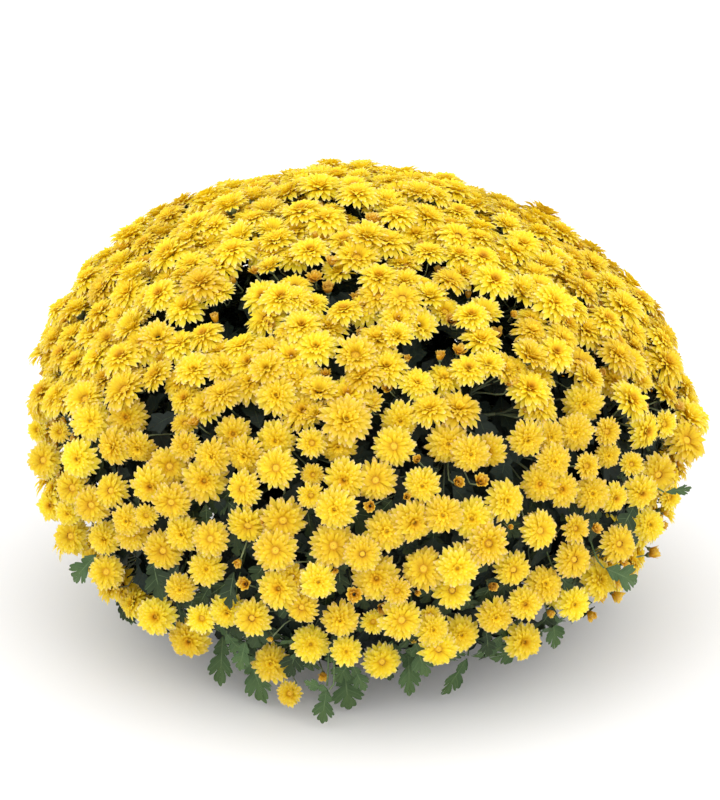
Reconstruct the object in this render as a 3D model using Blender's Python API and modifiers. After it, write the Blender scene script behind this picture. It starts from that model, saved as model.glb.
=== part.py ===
# Pot chrysanthemum: a broad mound of bloom on stems that fan out from one crown, in a plain round pot.
# Units are metres, +Z is up, the front is -Y, and the origin is the centre of the pot's flat underside.

import math

import bmesh
import bpy
import numpy as np
from mathutils import Matrix, Vector
from mathutils.bvhtree import BVHTree

GAP = 0.0003  # clearance between a piece and its seat

# Pot: a tapered thin-walled shell with a thicker rim band and drain holes in the floor
POT_HEIGHT = 0.150
POT_BASE_RADIUS = 0.094
POT_MOUTH_RADIUS = 0.116
POT_RIM_RADIUS = 0.120
POT_RIM_BAND = 0.018
POT_WALL = 0.002
POT_FLOOR = 0.003
POT_CORNER = 0.004
POT_SIDES = 40
DRAIN_HOLES = 6
DRAIN_RADIUS = 0.006
DRAIN_CIRCLE = 0.066
DRAIN_SIDES = 12

# Potting mix and the crown that sits in its middle
MIX_TOP = 0.136
CROWN_RADIUS = 0.036
CROWN_BURIED = 0.009
CROWN_SIDES = 24
CROWN_ARC_STEPS = 6

# Mound of bloom: its outer surface, seen from a centre on the pot's axis at the widest level
WIDEST_LEVEL = 0.213
MOUND_RADIUS = 0.340
DOME_RISE = 0.252  # from the widest level to the apex
DOME_POWER = 1.75  # 2 is an ellipse, and less is more pointed
SKIRT_DROP = 0.270  # the ellipse's half height below the widest level
SKIRT_ANGLE = math.radians(33)  # how far below the horizontal the bloom reaches
APEX_LEAN = -0.018  # sideways shift of the apex

# Sprays: the bloom of one stem each
SPRAYS = 22
SPRAY_SIDES = 16
SPRAY_MARGIN = 0.0035  # angle kept free at a spray's edge, in radians
SPRAY_DEPTH = 0.085  # from the outer surface in to the stem's tip
SPRAY_EDGE = 0.026  # depth to which the spray's side reaches below the outer surface
SPRAY_ROUNDING = 0.010
SPRAY_BACK = 0.030  # depth of the back near the edge, and midway to the tip
SPRAY_BACK_MIDDLE = 0.048
SPRAY_SEAT_RADIUS = 0.005
SETTLING_ROUNDS = 12
SETTLING_SAMPLES = 5000

# Stems
STEM_RADIUS = 0.0042
STEM_TIP_RADIUS = 0.0028
STEM_LOWEST_RISE = math.radians(32)  # of a stem that leaves the crown lowest
STEM_CURVE_STEPS = 9
STEM_HANDLE = 0.42  # share of the stem's span that its ends stay straight

# Leaves that hang below the skirt; an angle is counted from the front towards +X
SKIRT_LEAF_ANGLES = (-72, -36, -26, -4.5, 11, 22, 52, 95, 128, 170, 215, 262)
LEAF_LENGTH = 0.046
LEAF_WIDTH = 0.040
LEAF_THICKNESS = 0.0010
LEAF_TILT = math.radians(14)  # of the hanging leaf's tip towards the pot
LEAF_SEARCH = 0.03  # how far below the skirt the search for a leaf's seat starts
# one side of the leaf, as shares of its width and length, from the stalk's end to the tip
LEAF_SIDE = (
    (0.030, 0.00), (0.030, 0.28), (0.30, 0.30), (0.40, 0.42), (0.17, 0.50),
    (0.50, 0.60), (0.44, 0.74), (0.18, 0.73), (0.24, 0.88), (0.10, 0.97),
)

GOLDEN_ANGLE = math.pi * (3 - math.sqrt(5))


def clear_scene():
    for old in list(bpy.data.objects):
        bpy.data.objects.remove(old, do_unlink=True)


def new_collection(name):
    collection = bpy.data.collections.new(name)
    bpy.context.scene.collection.children.link(collection)
    return collection


def finish(name, colour, roughness):
    """A plain surface colour for one sub-part."""
    material = bpy.data.materials.new(name)
    material.use_nodes = True
    shader = material.node_tree.nodes["Principled BSDF"]
    shader.inputs["Base Color"].default_value = (*colour, 1.0)
    shader.inputs["Roughness"].default_value = roughness
    shader.inputs["Metallic"].default_value = 0.0
    material.diffuse_color = (*colour, 1.0)
    return material


def add_object(name, data, material, collection):
    obj = bpy.data.objects.new(name, data)
    data.materials.append(material)
    collection.objects.link(obj)
    return obj


def turned(name, profile, sides, material, collection):
    """A solid of revolution from (radius, height) points that run down its outer side."""
    mesh = bpy.data.meshes.new(name)
    points = [(radius, 0.0, height) for radius, height in profile]
    edges = [(i, i + 1) for i in range(len(points) - 1)]
    mesh.from_pydata(points, edges, [])
    obj = add_object(name, mesh, material, collection)
    screw = obj.modifiers.new("turn", "SCREW")
    screw.steps = sides
    screw.render_steps = sides
    screw.use_merge_vertices = True
    screw.merge_threshold = 0.00001
    return obj


def pot_outer(height):
    """Radius of the pot's outer wall at a height."""
    return POT_BASE_RADIUS + (POT_MOUTH_RADIUS - POT_BASE_RADIUS) * height / POT_HEIGHT


def pot_inner(height):
    return pot_outer(height) - POT_WALL


def make_pot(collection, cutters):
    band_bottom = POT_HEIGHT - POT_RIM_BAND
    bevel = POT_WALL / 2
    profile = [
        (0.0, POT_FLOOR),
        (pot_inner(POT_FLOOR) - POT_CORNER, POT_FLOOR),
        (pot_inner(POT_FLOOR + POT_CORNER), POT_FLOOR + POT_CORNER),
        (pot_inner(POT_HEIGHT), POT_HEIGHT - bevel),
        (pot_inner(POT_HEIGHT) + bevel, POT_HEIGHT),
        (POT_RIM_RADIUS - bevel, POT_HEIGHT),
        (POT_RIM_RADIUS, POT_HEIGHT - bevel),
        (POT_RIM_RADIUS, band_bottom),
        (pot_outer(band_bottom), band_bottom - bevel),
        (pot_outer(POT_CORNER), POT_CORNER),
        (POT_BASE_RADIUS - POT_CORNER, 0.0),
        (0.0, 0.0),
    ]
    material = finish("pot_plastic", (0.035, 0.05, 0.04), 0.5)
    pot = turned("pot", profile, POT_SIDES, material, collection)
    for i in range(DRAIN_HOLES):
        angle = 2 * math.pi * i / DRAIN_HOLES
        place = (DRAIN_CIRCLE * math.cos(angle), DRAIN_CIRCLE * math.sin(angle), POT_FLOOR / 2)
        bpy.ops.mesh.primitive_cylinder_add(
            vertices=DRAIN_SIDES, radius=DRAIN_RADIUS, depth=POT_FLOOR * 3, location=place)
        cutter = bpy.context.object
        cutter.name = f"drain_cutter_{i + 1}"
        cutter.hide_render = True
        cutter.display_type = "WIRE"
        for owner in list(cutter.users_collection):
            owner.objects.unlink(cutter)
        cutters.objects.link(cutter)
        cut = pot.modifiers.new(f"drain_{i + 1}", "BOOLEAN")
        cut.operation = "DIFFERENCE"
        cut.object = cutter
    return pot


def make_potting_mix(collection):
    """The soil block, which fills the pot and has a shallow seat for the crown."""
    bottom = POT_FLOOR + GAP
    seat_floor = MIX_TOP - CROWN_BURIED - GAP
    seat_radius = CROWN_RADIUS + GAP
    profile = [
        (0.0, seat_floor),
        (seat_radius, seat_floor),
        (seat_radius, MIX_TOP),
        (pot_inner(MIX_TOP) - GAP, MIX_TOP),
        (pot_inner(POT_FLOOR + POT_CORNER) - GAP, POT_FLOOR + POT_CORNER + GAP),
        (pot_inner(POT_FLOOR) - POT_CORNER - GAP, bottom),
        (0.0, bottom),
    ]
    material = finish("peat_mix", (0.045, 0.03, 0.02), 0.95)
    return turned("potting_mix", profile, POT_SIDES, material, collection)


def make_crown(collection, material):
    """The woody knob at the soil line that every stem grows from."""
    profile = []
    for step in range(CROWN_ARC_STEPS + 1):
        angle = math.pi / 2 * (1 - step / CROWN_ARC_STEPS)
        profile.append((CROWN_RADIUS * math.cos(angle), MIX_TOP + CROWN_RADIUS * math.sin(angle)))
    profile[0] = (0.0, MIX_TOP + CROWN_RADIUS)
    profile.append((CROWN_RADIUS, MIX_TOP - CROWN_BURIED))
    profile.append((0.0, MIX_TOP - CROWN_BURIED))
    return turned("crown", profile, CROWN_SIDES, material, collection)


def spiral_directions(count):
    """Directions spread evenly from the apex down to the skirt, each a golden angle past the last."""
    index = np.arange(count)
    height = 1 - (1 + math.sin(SKIRT_ANGLE)) * (index + 0.5) / count
    flat = np.sqrt(1 - height ** 2)
    turn = index * GOLDEN_ANGLE
    return np.stack([flat * np.cos(turn), flat * np.sin(turn), height], axis=1)


def settled_directions(count):
    """The spiral's directions, each moved to the middle of the region that is nearest to it."""
    seeds = spiral_directions(count)
    samples = spiral_directions(SETTLING_SAMPLES)
    for _ in range(SETTLING_ROUNDS):
        owner = np.argmax(samples @ seeds.T, axis=1)
        for i in range(count):
            middle = samples[owner == i].mean(axis=0)
            seeds[i] = middle / np.linalg.norm(middle)
    return [Vector(seed) for seed in seeds]


def reach(direction):
    """Distance from the mound's centre to its outer surface."""
    across = math.hypot(direction.x, direction.y) / MOUND_RADIUS
    if direction.z >= 0:
        along = direction.z / DOME_RISE
        return (across ** DOME_POWER + along ** DOME_POWER) ** (-1 / DOME_POWER)
    return (across ** 2 + (direction.z / SKIRT_DROP) ** 2) ** -0.5


def place(direction, distance):
    """The point at a distance from the mound's centre, with the dome's lean."""
    point = direction * distance
    rise = max(0.0, point.z) / DOME_RISE
    return Vector((point.x + APEX_LEAN * rise ** 2, point.y, point.z + WIDEST_LEVEL))


def sideways(direction):
    """Two directions at right angles to the given one and to each other."""
    first = direction.cross(Vector((0.0, 0.0, 1.0)))
    if first.length < 0.05:
        first = Vector((1.0, 0.0, 0.0))
    first.normalize()
    return first, direction.cross(first)


def edge_angle(seed, toward, seeds):
    """Angle from a spray's middle to its edge, at the nearest neighbour or at the skirt."""
    angle = math.pi / 2
    for other in seeds:
        closing = toward.dot(other)
        if other is not seed and closing > 1e-6:
            angle = min(angle, math.atan2(1 - seed.dot(other), closing))
    swing = math.hypot(seed.z, toward.z)
    fall = -math.sin(SKIRT_ANGLE) / swing
    if abs(fall) < 1:
        angle = min(angle, math.atan2(toward.z, seed.z) + math.acos(fall))
    return angle - SPRAY_MARGIN


def make_spray(name, seed, seeds, material, collection):
    """One stem's bloom: a rounded cushion on a funnel that narrows to the stem's tip."""
    first, second = sideways(seed)
    depth = reach(seed) - SPRAY_DEPTH
    # each ring is a share of the angle to the edge, and a depth below the outer surface
    rings = (
        (0.42, SPRAY_BACK_MIDDLE), (0.92, SPRAY_BACK), (1.0, SPRAY_EDGE),
        (1.0, SPRAY_ROUNDING), (0.80, 0.002), (0.42, 0.0),
    )
    mesh = bmesh.new()
    columns = []
    for side in range(SPRAY_SIDES):
        turn = 2 * math.pi * side / SPRAY_SIDES
        toward = first * math.cos(turn) + second * math.sin(turn)
        edge = edge_angle(seed, toward, seeds)
        column = [mesh.verts.new(place(seed, depth) + toward * SPRAY_SEAT_RADIUS)]
        for share, below in rings:
            ray = seed * math.cos(edge * share) + toward * math.sin(edge * share)
            column.append(mesh.verts.new(place(ray, reach(ray) - below)))
        columns.append(column)
    top = mesh.verts.new(place(seed, reach(seed)))
    for side in range(SPRAY_SIDES):
        here = columns[side]
        after = columns[(side + 1) % SPRAY_SIDES]
        for level in range(len(rings)):
            mesh.faces.new((here[level], after[level], after[level + 1], here[level + 1]))
        mesh.faces.new((here[-1], after[-1], top))
    mesh.faces.new([column[0] for column in columns])
    bmesh.ops.recalc_face_normals(mesh, faces=mesh.faces)
    data = bpy.data.meshes.new(name)
    mesh.to_mesh(data)
    mesh.free()
    return add_object(name, data, material, collection)


def stem_start(seed):
    """Direction in which a stem leaves the crown: its spray's, lifted to clear the pot's rim."""
    rise = math.asin(seed.z)
    share = (rise + SKIRT_ANGLE) / (math.pi / 2 + SKIRT_ANGLE)
    lifted = STEM_LOWEST_RISE + share * (math.pi / 2 - STEM_LOWEST_RISE)
    turn = math.atan2(seed.y, seed.x)
    return Vector((
        math.cos(lifted) * math.cos(turn), math.cos(lifted) * math.sin(turn), math.sin(lifted)))


def make_stem(name, seed, material, collection):
    """A tapered stem that bends from the crown to its spray's seat."""
    heading = stem_start(seed)
    start = Vector((0.0, 0.0, MIX_TOP)) + heading * (CROWN_RADIUS + GAP)
    end = place(seed, reach(seed) - SPRAY_DEPTH) - seed * GAP
    straight = (end - start).length * STEM_HANDLE
    curve = bpy.data.curves.new(name, "CURVE")
    curve.dimensions = "3D"
    curve.bevel_depth = STEM_RADIUS
    curve.bevel_resolution = 1
    curve.use_fill_caps = True
    curve.resolution_u = STEM_CURVE_STEPS
    spline = curve.splines.new("BEZIER")
    spline.bezier_points.add(1)
    ends = ((start, heading, 1.0), (end, seed, STEM_TIP_RADIUS / STEM_RADIUS))
    for point, (spot, course, radius) in zip(spline.bezier_points, ends):
        point.handle_left_type = "FREE"
        point.handle_right_type = "FREE"
        point.co = spot
        point.handle_left = spot - course * straight
        point.handle_right = spot + course * straight
        point.radius = radius
    return add_object(name, curve, material, collection)


def seat_shift(hanging, across, facing, normal):
    """How far a leaf stalk's end moves along its own line to keep the gap at its nearest corner."""
    half_width = LEAF_SIDE[0][0] * LEAF_WIDTH
    reach_in = half_width * abs(across.dot(normal)) + LEAF_THICKNESS / 2 * abs(facing.dot(normal))
    return (GAP + reach_in) / hanging.dot(normal)


def make_skirt_leaf(name, angle, spray_tree, material, collection):
    """A lobed leaf that hangs by its stalk from the underside of the skirt."""
    outward = Vector((math.sin(angle), -math.cos(angle), 0.0))
    across = Vector((math.cos(angle), math.sin(angle), 0.0))
    hanging = (-outward * math.sin(LEAF_TILT) - Vector((0.0, 0.0, math.cos(LEAF_TILT)))).normalized()
    facing = across.cross(hanging)
    slope = outward * math.cos(SKIRT_ANGLE) - Vector((0.0, 0.0, math.sin(SKIRT_ANGLE)))
    middle = place(slope, reach(slope) - (SPRAY_EDGE + SPRAY_ROUNDING) / 2)
    hit, normal, _, _ = spray_tree.ray_cast(middle + hanging * LEAF_SEARCH, -hanging)
    end = hit + hanging * seat_shift(hanging, across, facing, normal)
    curve = bpy.data.curves.new(name, "CURVE")
    curve.dimensions = "2D"
    curve.fill_mode = "BOTH"
    curve.extrude = LEAF_THICKNESS / 2
    half = [(share_x * LEAF_WIDTH, share_y * LEAF_LENGTH) for share_x, share_y in LEAF_SIDE]
    outline = half + [(0.0, LEAF_LENGTH)] + [(-x, y) for x, y in reversed(half)]
    spline = curve.splines.new("POLY")
    spline.points.add(len(outline) - 1)
    for point, (x, y) in zip(spline.points, outline):
        point.co = (x, y, 0.0, 1.0)
    spline.use_cyclic_u = True
    leaf = add_object(name, curve, material, collection)
    leaf.matrix_world = Matrix((
        (across.x, hanging.x, facing.x, end.x),
        (across.y, hanging.y, facing.y, end.y),
        (across.z, hanging.z, facing.z, end.z),
        (0.0, 0.0, 0.0, 1.0),
    ))
    return leaf


def solid_tree(objects):
    """One search tree over the faces of several meshes that stand at the origin."""
    corners, faces = [], []
    for obj in objects:
        start = len(corners)
        corners.extend(vertex.co.copy() for vertex in obj.data.vertices)
        faces.extend([start + i for i in face.vertices] for face in obj.data.polygons)
    return BVHTree.FromPolygons(corners, faces)


def main():
    clear_scene()
    plant = new_collection("pot_chrysanthemum")
    cutters = new_collection("cutters")
    make_pot(plant, cutters)
    make_potting_mix(plant)
    wood = finish("crown_bark", (0.16, 0.12, 0.06), 0.8)
    make_crown(plant, wood)
    seeds = settled_directions(SPRAYS)
    sprays = []
    for i, seed in enumerate(seeds):
        green = finish(f"stem_green_{i + 1:02d}", (0.10, 0.16, 0.06), 0.6)
        yellow = finish(f"petal_yellow_{i + 1:02d}", (0.82, 0.56, 0.04), 0.6)
        make_stem(f"stem_{i + 1:02d}", seed, green, plant)
        sprays.append(make_spray(f"spray_{i + 1:02d}", seed, seeds, yellow, plant))
    tree = solid_tree(sprays)
    for i, angle in enumerate(SKIRT_LEAF_ANGLES):
        leaf_green = finish(f"leaf_green_{i + 1:02d}", (0.05, 0.10, 0.035), 0.55)
        make_skirt_leaf(f"skirt_leaf_{i + 1:02d}", math.radians(angle), tree, leaf_green, plant)


main()
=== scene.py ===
import math

import bpy
import numpy as np
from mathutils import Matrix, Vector


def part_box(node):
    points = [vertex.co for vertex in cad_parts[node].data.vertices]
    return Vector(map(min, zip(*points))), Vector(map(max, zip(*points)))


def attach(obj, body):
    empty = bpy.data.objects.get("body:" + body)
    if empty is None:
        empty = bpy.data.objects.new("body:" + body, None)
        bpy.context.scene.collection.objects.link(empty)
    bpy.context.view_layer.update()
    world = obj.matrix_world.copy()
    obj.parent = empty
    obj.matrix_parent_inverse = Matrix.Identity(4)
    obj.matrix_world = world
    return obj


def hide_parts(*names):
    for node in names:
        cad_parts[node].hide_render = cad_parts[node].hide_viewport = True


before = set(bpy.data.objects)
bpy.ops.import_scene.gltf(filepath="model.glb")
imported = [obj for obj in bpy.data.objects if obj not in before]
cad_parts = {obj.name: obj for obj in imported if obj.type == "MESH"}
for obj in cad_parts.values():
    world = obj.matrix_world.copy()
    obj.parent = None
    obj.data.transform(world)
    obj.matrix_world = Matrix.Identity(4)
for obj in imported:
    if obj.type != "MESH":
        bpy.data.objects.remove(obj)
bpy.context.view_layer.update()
print("frame loaded:", len(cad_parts), "nodes")

goldenAngle = math.pi * (3 - math.sqrt(5))
upward = np.array([0.0, 0.0, 1.0])
sprayNames = sorted(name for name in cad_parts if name.startswith("spray_"))
leafNames = sorted(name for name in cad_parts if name.startswith("skirt_leaf_"))

# camera of the photograph: a long lens, a little above the plant
view = {
    "elevation": 22,  # degrees above the floor
    "distance": 3.5,
    "lens": 175,  # mm
    "sensor": 36,  # mm, across the picture
    "picture": (720, 800),  # pixels
    "widestAt": (365, 417),  # pixel where the plant's axis crosses its widest level
    "searched": (2.6, 4.4, 0.0005),  # metres along a ray in which it meets the mound, and the step
    "clipEnd": 50,
}

# outer surface of the bloom, as the CAD sprays have it
mound = {
    "level": 0.213,  # height of the widest part
    "radius": 0.340,
    "rise": 0.252,
    "power": 1.75,
    "drop": 0.270,
    "skirtAngle": 33,  # degrees below the horizontal
    "lean": -0.018,  # sideways shift of the top
}


def unit(vectors):
    return vectors / np.linalg.norm(vectors, axis=-1, keepdims=True)


def distances(points, others):
    # from each point to each of the others
    return np.linalg.norm(points[:, None] - others[None], axis=2)


def turnsOf(count):
    # equal turns round a circle
    return np.arange(count) / count * math.tau


def cameraAxes():
    slope = math.radians(view["elevation"])
    forward = np.array([0, math.cos(slope), -math.sin(slope)])
    right = np.array([1.0, 0, 0])
    return forward, right, np.cross(right, forward)


def towardsCamera():
    return -cameraAxes()[0]


def cameraPlace():
    forward, right, above = cameraAxes()
    pixelSize = view["distance"] * view["sensor"] / view["lens"] / view["picture"][0]
    across = view["widestAt"][0] - view["picture"][0] / 2
    down = view["widestAt"][1] - view["picture"][1] / 2
    target = upward * mound["level"] - right * across * pixelSize + above * down * pixelSize
    return target - forward * view["distance"]


def makeCamera():
    data = bpy.data.cameras.new("photoCamera")
    data.lens = view["lens"]
    data.sensor_fit = "HORIZONTAL"
    data.sensor_width = view["sensor"]
    data.clip_end = view["clipEnd"]
    camera = bpy.data.objects.new("photoCamera", data)
    bpy.context.scene.collection.objects.link(camera)
    camera.location = cameraPlace()
    camera.rotation_euler = Vector(-towardsCamera()).to_track_quat("-Z", "Y").to_euler()
    bpy.context.scene.camera = camera


def surfaceAt(directions, depth=0.0):
    flat = np.hypot(directions[:, 0], directions[:, 1]) / mound["radius"]
    height = directions[:, 2]
    power = mound["power"]
    dome = (flat**power + np.abs(height / mound["rise"]) ** power) ** (-1 / power)
    skirt = (flat**2 + (height / mound["drop"]) ** 2) ** -0.5
    points = directions * (np.where(height > 0, dome, skirt) - depth)[:, None]
    points[:, 0] += mound["lean"] * (np.clip(points[:, 2], 0, None) / mound["rise"]) ** 2
    points[:, 2] += mound["level"]
    return points


def normalAt(directions):
    points = surfaceAt(directions) - upward * mound["level"]
    flat = np.hypot(points[:, 0], points[:, 1])
    power = np.where(points[:, 2] > 0, mound["power"], 2)
    tall = np.where(points[:, 2] > 0, mound["rise"], mound["drop"])
    outward = (flat / mound["radius"]) ** (power - 1) / mound["radius"]
    rising = np.sign(points[:, 2]) * (np.abs(points[:, 2]) / tall) ** (power - 1) / tall
    normals = points / np.maximum(flat, 1e-6)[:, None] * outward[:, None]
    normals[:, 2] = rising
    return unit(normals)


def rayAt(pixel):
    forward, right, above = cameraAxes()
    focal = view["lens"] / view["sensor"] * view["picture"][0]
    across = (pixel[0] - view["picture"][0] / 2) / focal
    down = (pixel[1] - view["picture"][1] / 2) / focal
    return unit(forward + right * across - above * down)


def pixelsOf(points):
    # where the camera sees points
    forward, right, above = cameraAxes()
    offsets = points - cameraPlace()
    scale = view["lens"] / view["sensor"] * view["picture"][0] / (offsets @ forward)
    across = view["picture"][0] / 2 + offsets @ right * scale
    down = view["picture"][1] / 2 - offsets @ above * scale
    return np.stack([across, down], axis=-1)


def directionAt(pixel, depth=0.0):
    # direction, from the mound's centre, of what the photograph shows at a pixel, that deep in the mound
    points = cameraPlace() + rayAt(pixel) * np.arange(*view["searched"])[:, None]
    offsets = points - upward * mound["level"]
    surface = surfaceAt(unit(offsets), depth) - upward * mound["level"]
    room = np.linalg.norm(surface, axis=1) - np.linalg.norm(offsets, axis=1)
    hit = np.argmax(room > 0) if room.max() > 0 else np.argmax(room)
    return unit(offsets[hit])


def seenAt(pixel, point, leastHeight):
    # the place nearest to a point that the camera sees at a pixel, no lower than leastHeight
    ray = rayAt(pixel)
    reach = np.dot(point - cameraPlace(), ray)
    reach = min(reach, (leastHeight - cameraPlace()[2]) / ray[2])
    return cameraPlace() + ray * reach


def seenInPlane(pixel, point, normal):
    # the place that the camera sees at a pixel, in the plane through a point
    ray = rayAt(pixel)
    return cameraPlace() + ray * np.dot(point - cameraPlace(), normal) / np.dot(ray, normal)


def byHeight(table, directions):
    return np.interp(directions[:, 2], *np.transpose(table))


makeCamera()
print("camera placed")

# meshes are gathered from grids of points: petals, tubes, cups and leaves
mapMargin = 0.01  # that maps keep from the ends in x
tubeAside = np.array([0.31, 0.87, 0.11])  # no tube follows this direction
headAside = np.array([0.23, 0.41, 0.88])  # and no head faces this one


def newBuild():
    return {"points": [], "faces": [], "maps": [], "kinds": [], "count": 0}


def addGrids(build, points, bands, bandCount, kind=0, shares=None, closed=False, fill=0.86):
    # points is (grids, rows, columns, 3). The map runs along the rows in x, and each grid's band is a strip
    # in y, which the grid fills by a share
    count, rows, columns = points.shape[:3]
    spans = columns if closed else columns - 1
    if shares is None:
        shares = np.linspace(0, 1, rows)
    row, column = np.meshgrid(np.arange(rows - 1), np.arange(spans), indexing="ij")
    rowEnds = np.stack([row, row, row + 1, row + 1], -1).reshape(-1, 4)
    columnEnds = np.stack([column, column + 1, column + 1, column], -1).reshape(-1, 4)
    corners = rowEnds * columns + columnEnds % columns
    faces = corners[None] + (rows * columns * np.arange(count))[:, None, None]
    along = mapMargin + (1 - 2 * mapMargin) * np.asarray(shares)[rowEnds]
    across = (columnEnds / spans - 0.5) * fill + 0.5
    strips = (across[None] + np.asarray(bands)[:, None, None]) / bandCount
    maps = np.stack([np.broadcast_to(along, strips.shape), strips], -1)
    build["points"].append(points.reshape(-1, 3))
    build["faces"].append(faces.reshape(-1, 4) + build["count"])
    build["maps"].append(maps.reshape(-1, 2))
    build["kinds"].append(np.full(faces.shape[0] * faces.shape[1], kind))
    build["count"] += count * rows * columns


def finishPiece(name, build, materials):
    points = np.concatenate(build["points"])
    faces = np.concatenate(build["faces"]).astype(np.int32)
    mesh = bpy.data.meshes.new(name)
    mesh.vertices.add(len(points))
    mesh.vertices.foreach_set("co", points.astype(np.float32).ravel())
    mesh.loops.add(faces.size)
    mesh.loops.foreach_set("vertex_index", faces.ravel())
    mesh.polygons.add(len(faces))
    mesh.polygons.foreach_set("loop_start", np.arange(0, faces.size, 4, dtype=np.int32))
    mesh.polygons.foreach_set("material_index", np.concatenate(build["kinds"]).astype(np.int32))
    mesh.update(calc_edges=True)
    mesh.polygons.foreach_set("use_smooth", np.ones(len(faces), bool))
    mapping = mesh.uv_layers.new(name="OFBake")
    mapping.data.foreach_set("uv", np.concatenate(build["maps"]).astype(np.float32).ravel())
    for material in materials:
        mesh.materials.append(material)
    piece = bpy.data.objects.new(name, mesh)
    bpy.context.scene.collection.objects.link(piece)
    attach(piece, "root")
    return piece


def tubeGrids(starts, ends, leaving, arriving, startRadius, endRadius, rows=6, sides=4):
    # smooth tubes between two sets of points, which leave and arrive along the given vectors
    share = np.linspace(0, 1, rows)[None, :, None]
    rest = 1 - share
    a, b, c, d = (v[:, None] for v in (starts, starts + leaving, ends - arriving, ends))
    path = rest**3 * a + 3 * rest**2 * share * b + 3 * rest * share**2 * c + share**3 * d
    along = unit(np.gradient(path, axis=1))
    side = unit(np.cross(along, tubeAside))
    other = np.cross(along, side)
    turn = turnsOf(sides)
    radius = (startRadius + (endRadius - startRadius) * share)[..., None]
    ring = side[:, :, None] * np.cos(turn)[:, None] + other[:, :, None] * np.sin(turn)[:, None]
    return path[:, :, None] + radius * ring


# where the flower heads sit: sizes in metres, and what changes with height is a list of (height, value)
heads = {
    "placeSeed": 21,
    "lookSeed": 22,
    "tries": 14000,
    # least distance between neighbours
    "closest": ((-0.5, 0.042), (-0.2, 0.033), (0.1, 0.0270), (0.35, 0.0226), (1, 0.0218)),
    "closestSpread": (0.80, 1.18),
    "radius": 0.0205,  # of an open head
    "radiusSpread": 0.0016,
    "openness": (0.74, 1.0),
    "halfOpen": 0.14,  # share of heads that are only half open
    "halfOpenness": (0.35, 0.7),
    "sizes": ((0, 0.62), (0.8, 1)),  # by openness, as shares of the open head's radius
    "full": ((-0.2, 0.55), (0.1, 0.88)),  # share of heads whose inner petals close over the heart
    "depth": ((-0.5, 0.018), (0, 0.016), (0.3, 0.011), (1, 0.008)),  # from the outer surface to a head's foot
    "depthSteps": (0.0, 0.004, 0.008, 0.012),  # neighbours sit at different ones, and so overlap like tiles
    "stepReach": 0.034,  # how near such neighbours are
    "stepChance": 0.0015,
    "skirtMargin": 4.5,  # degrees that the lowest heads keep above the skirt's edge
    "sprayDepth": 0.03,  # where the nearest spray is looked for
    "shootSize": 6.5,  # heads on one shoot
    "shootReach": 0.16,
    "groupRounds": 8,
    "gather": ((-0.4, 0.20), (0.3, 0.05)),  # how far a shoot draws its heads together
    "domeDrop": 0.007,  # how much deeper a shoot's outer heads sit
    "lump": 0.004,  # how far whole shoots stand out or sit back
    "spread": 0.30,  # how far heads lean away from their shoot's middle
    "lift": ((-0.5, 1.05), (0.5, 0.30)),  # and upward
    "tiltSpread": 0.13,
    # smaller heads that fill in between
    "small": 150,
    "smallRadius": (0.0115, 0.0165),
    "smallFrom": -0.3,  # least height of their directions
    "smallClosest": 0.021,
    "smallGap": 0.70,  # least share of the usual distance that they keep from larger heads
    "smallDeeper": 0.003,
    "smallHalfOpen": 0.3,  # share of them that are half open, beyond the usual one
    # dark openings
    "openingDepth": 0.012,
    "openingSize": (1.05, 2.7),  # times its size in the photograph, and by how much more as it turns away
    "openingClear": 0.63,  # how far heads stay from its edge, as a share of their radius
    # heads that are placed by the photograph
    "perPixel": 0.001,  # metres that a pixel covers at the plant
    "namedDepth": 0.014,
    "namedFoot": 0.010,
    "namedTurn": 0.65,  # they face the camera, and outward by this share
    "namedTilt": 0.25,
    "leastHeight": 0.030,  # above the floor
    # below this line through pixels of the picture, only these stand at the front
    "namedBelow": {
        "pictureLeft": (0, 396), "plantLeft": (60, 402), "leftRise": (150, 410),
        "leftDip": (165, 436), "leftMiddle": (260, 426), "middleDip": (330, 430),
        "middleTop": (380, 408), "middleTopEnd": (420, 408), "rightMiddle": (470, 426),
        "right": (520, 418), "openingLeft": (560, 418), "openingTop": (566, 386),
        "openingTopEnd": (600, 386), "openingRight": (604, 418), "pictureRight": (720, 416),
    },
    "namedFacing": 0.30,  # but heads seen more edge-on than this are laid out by rule everywhere
    # some of them have another head behind, seen from the side only
    "behind": 0.036,
    "behindRadius": 0.017,
    "behindSize": 17,  # only those with a larger radius, in pixels
    "behindFrom": 0.150,  # and only as far as this to the side
    # where the plant swells beyond its plain outline, or sits back, by pixel, reach and height
    "swells": {
        "leftShoulder": ((110, 245), 0.35, 0.012),
        "leftSide": ((27, 450), 0.16, 0.008),
        "rightSide": ((705, 430), 0.12, 0.006),
        "leftUpperSide": ((50, 322), 0.10, 0.009),
        "rightHollow": ((682, 520), 0.14, -0.020),
        "rightLowHollow": ((645, 570), 0.13, -0.024),
        "rightLowest": ((600, 620), 0.12, -0.022),
    },
}

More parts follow.
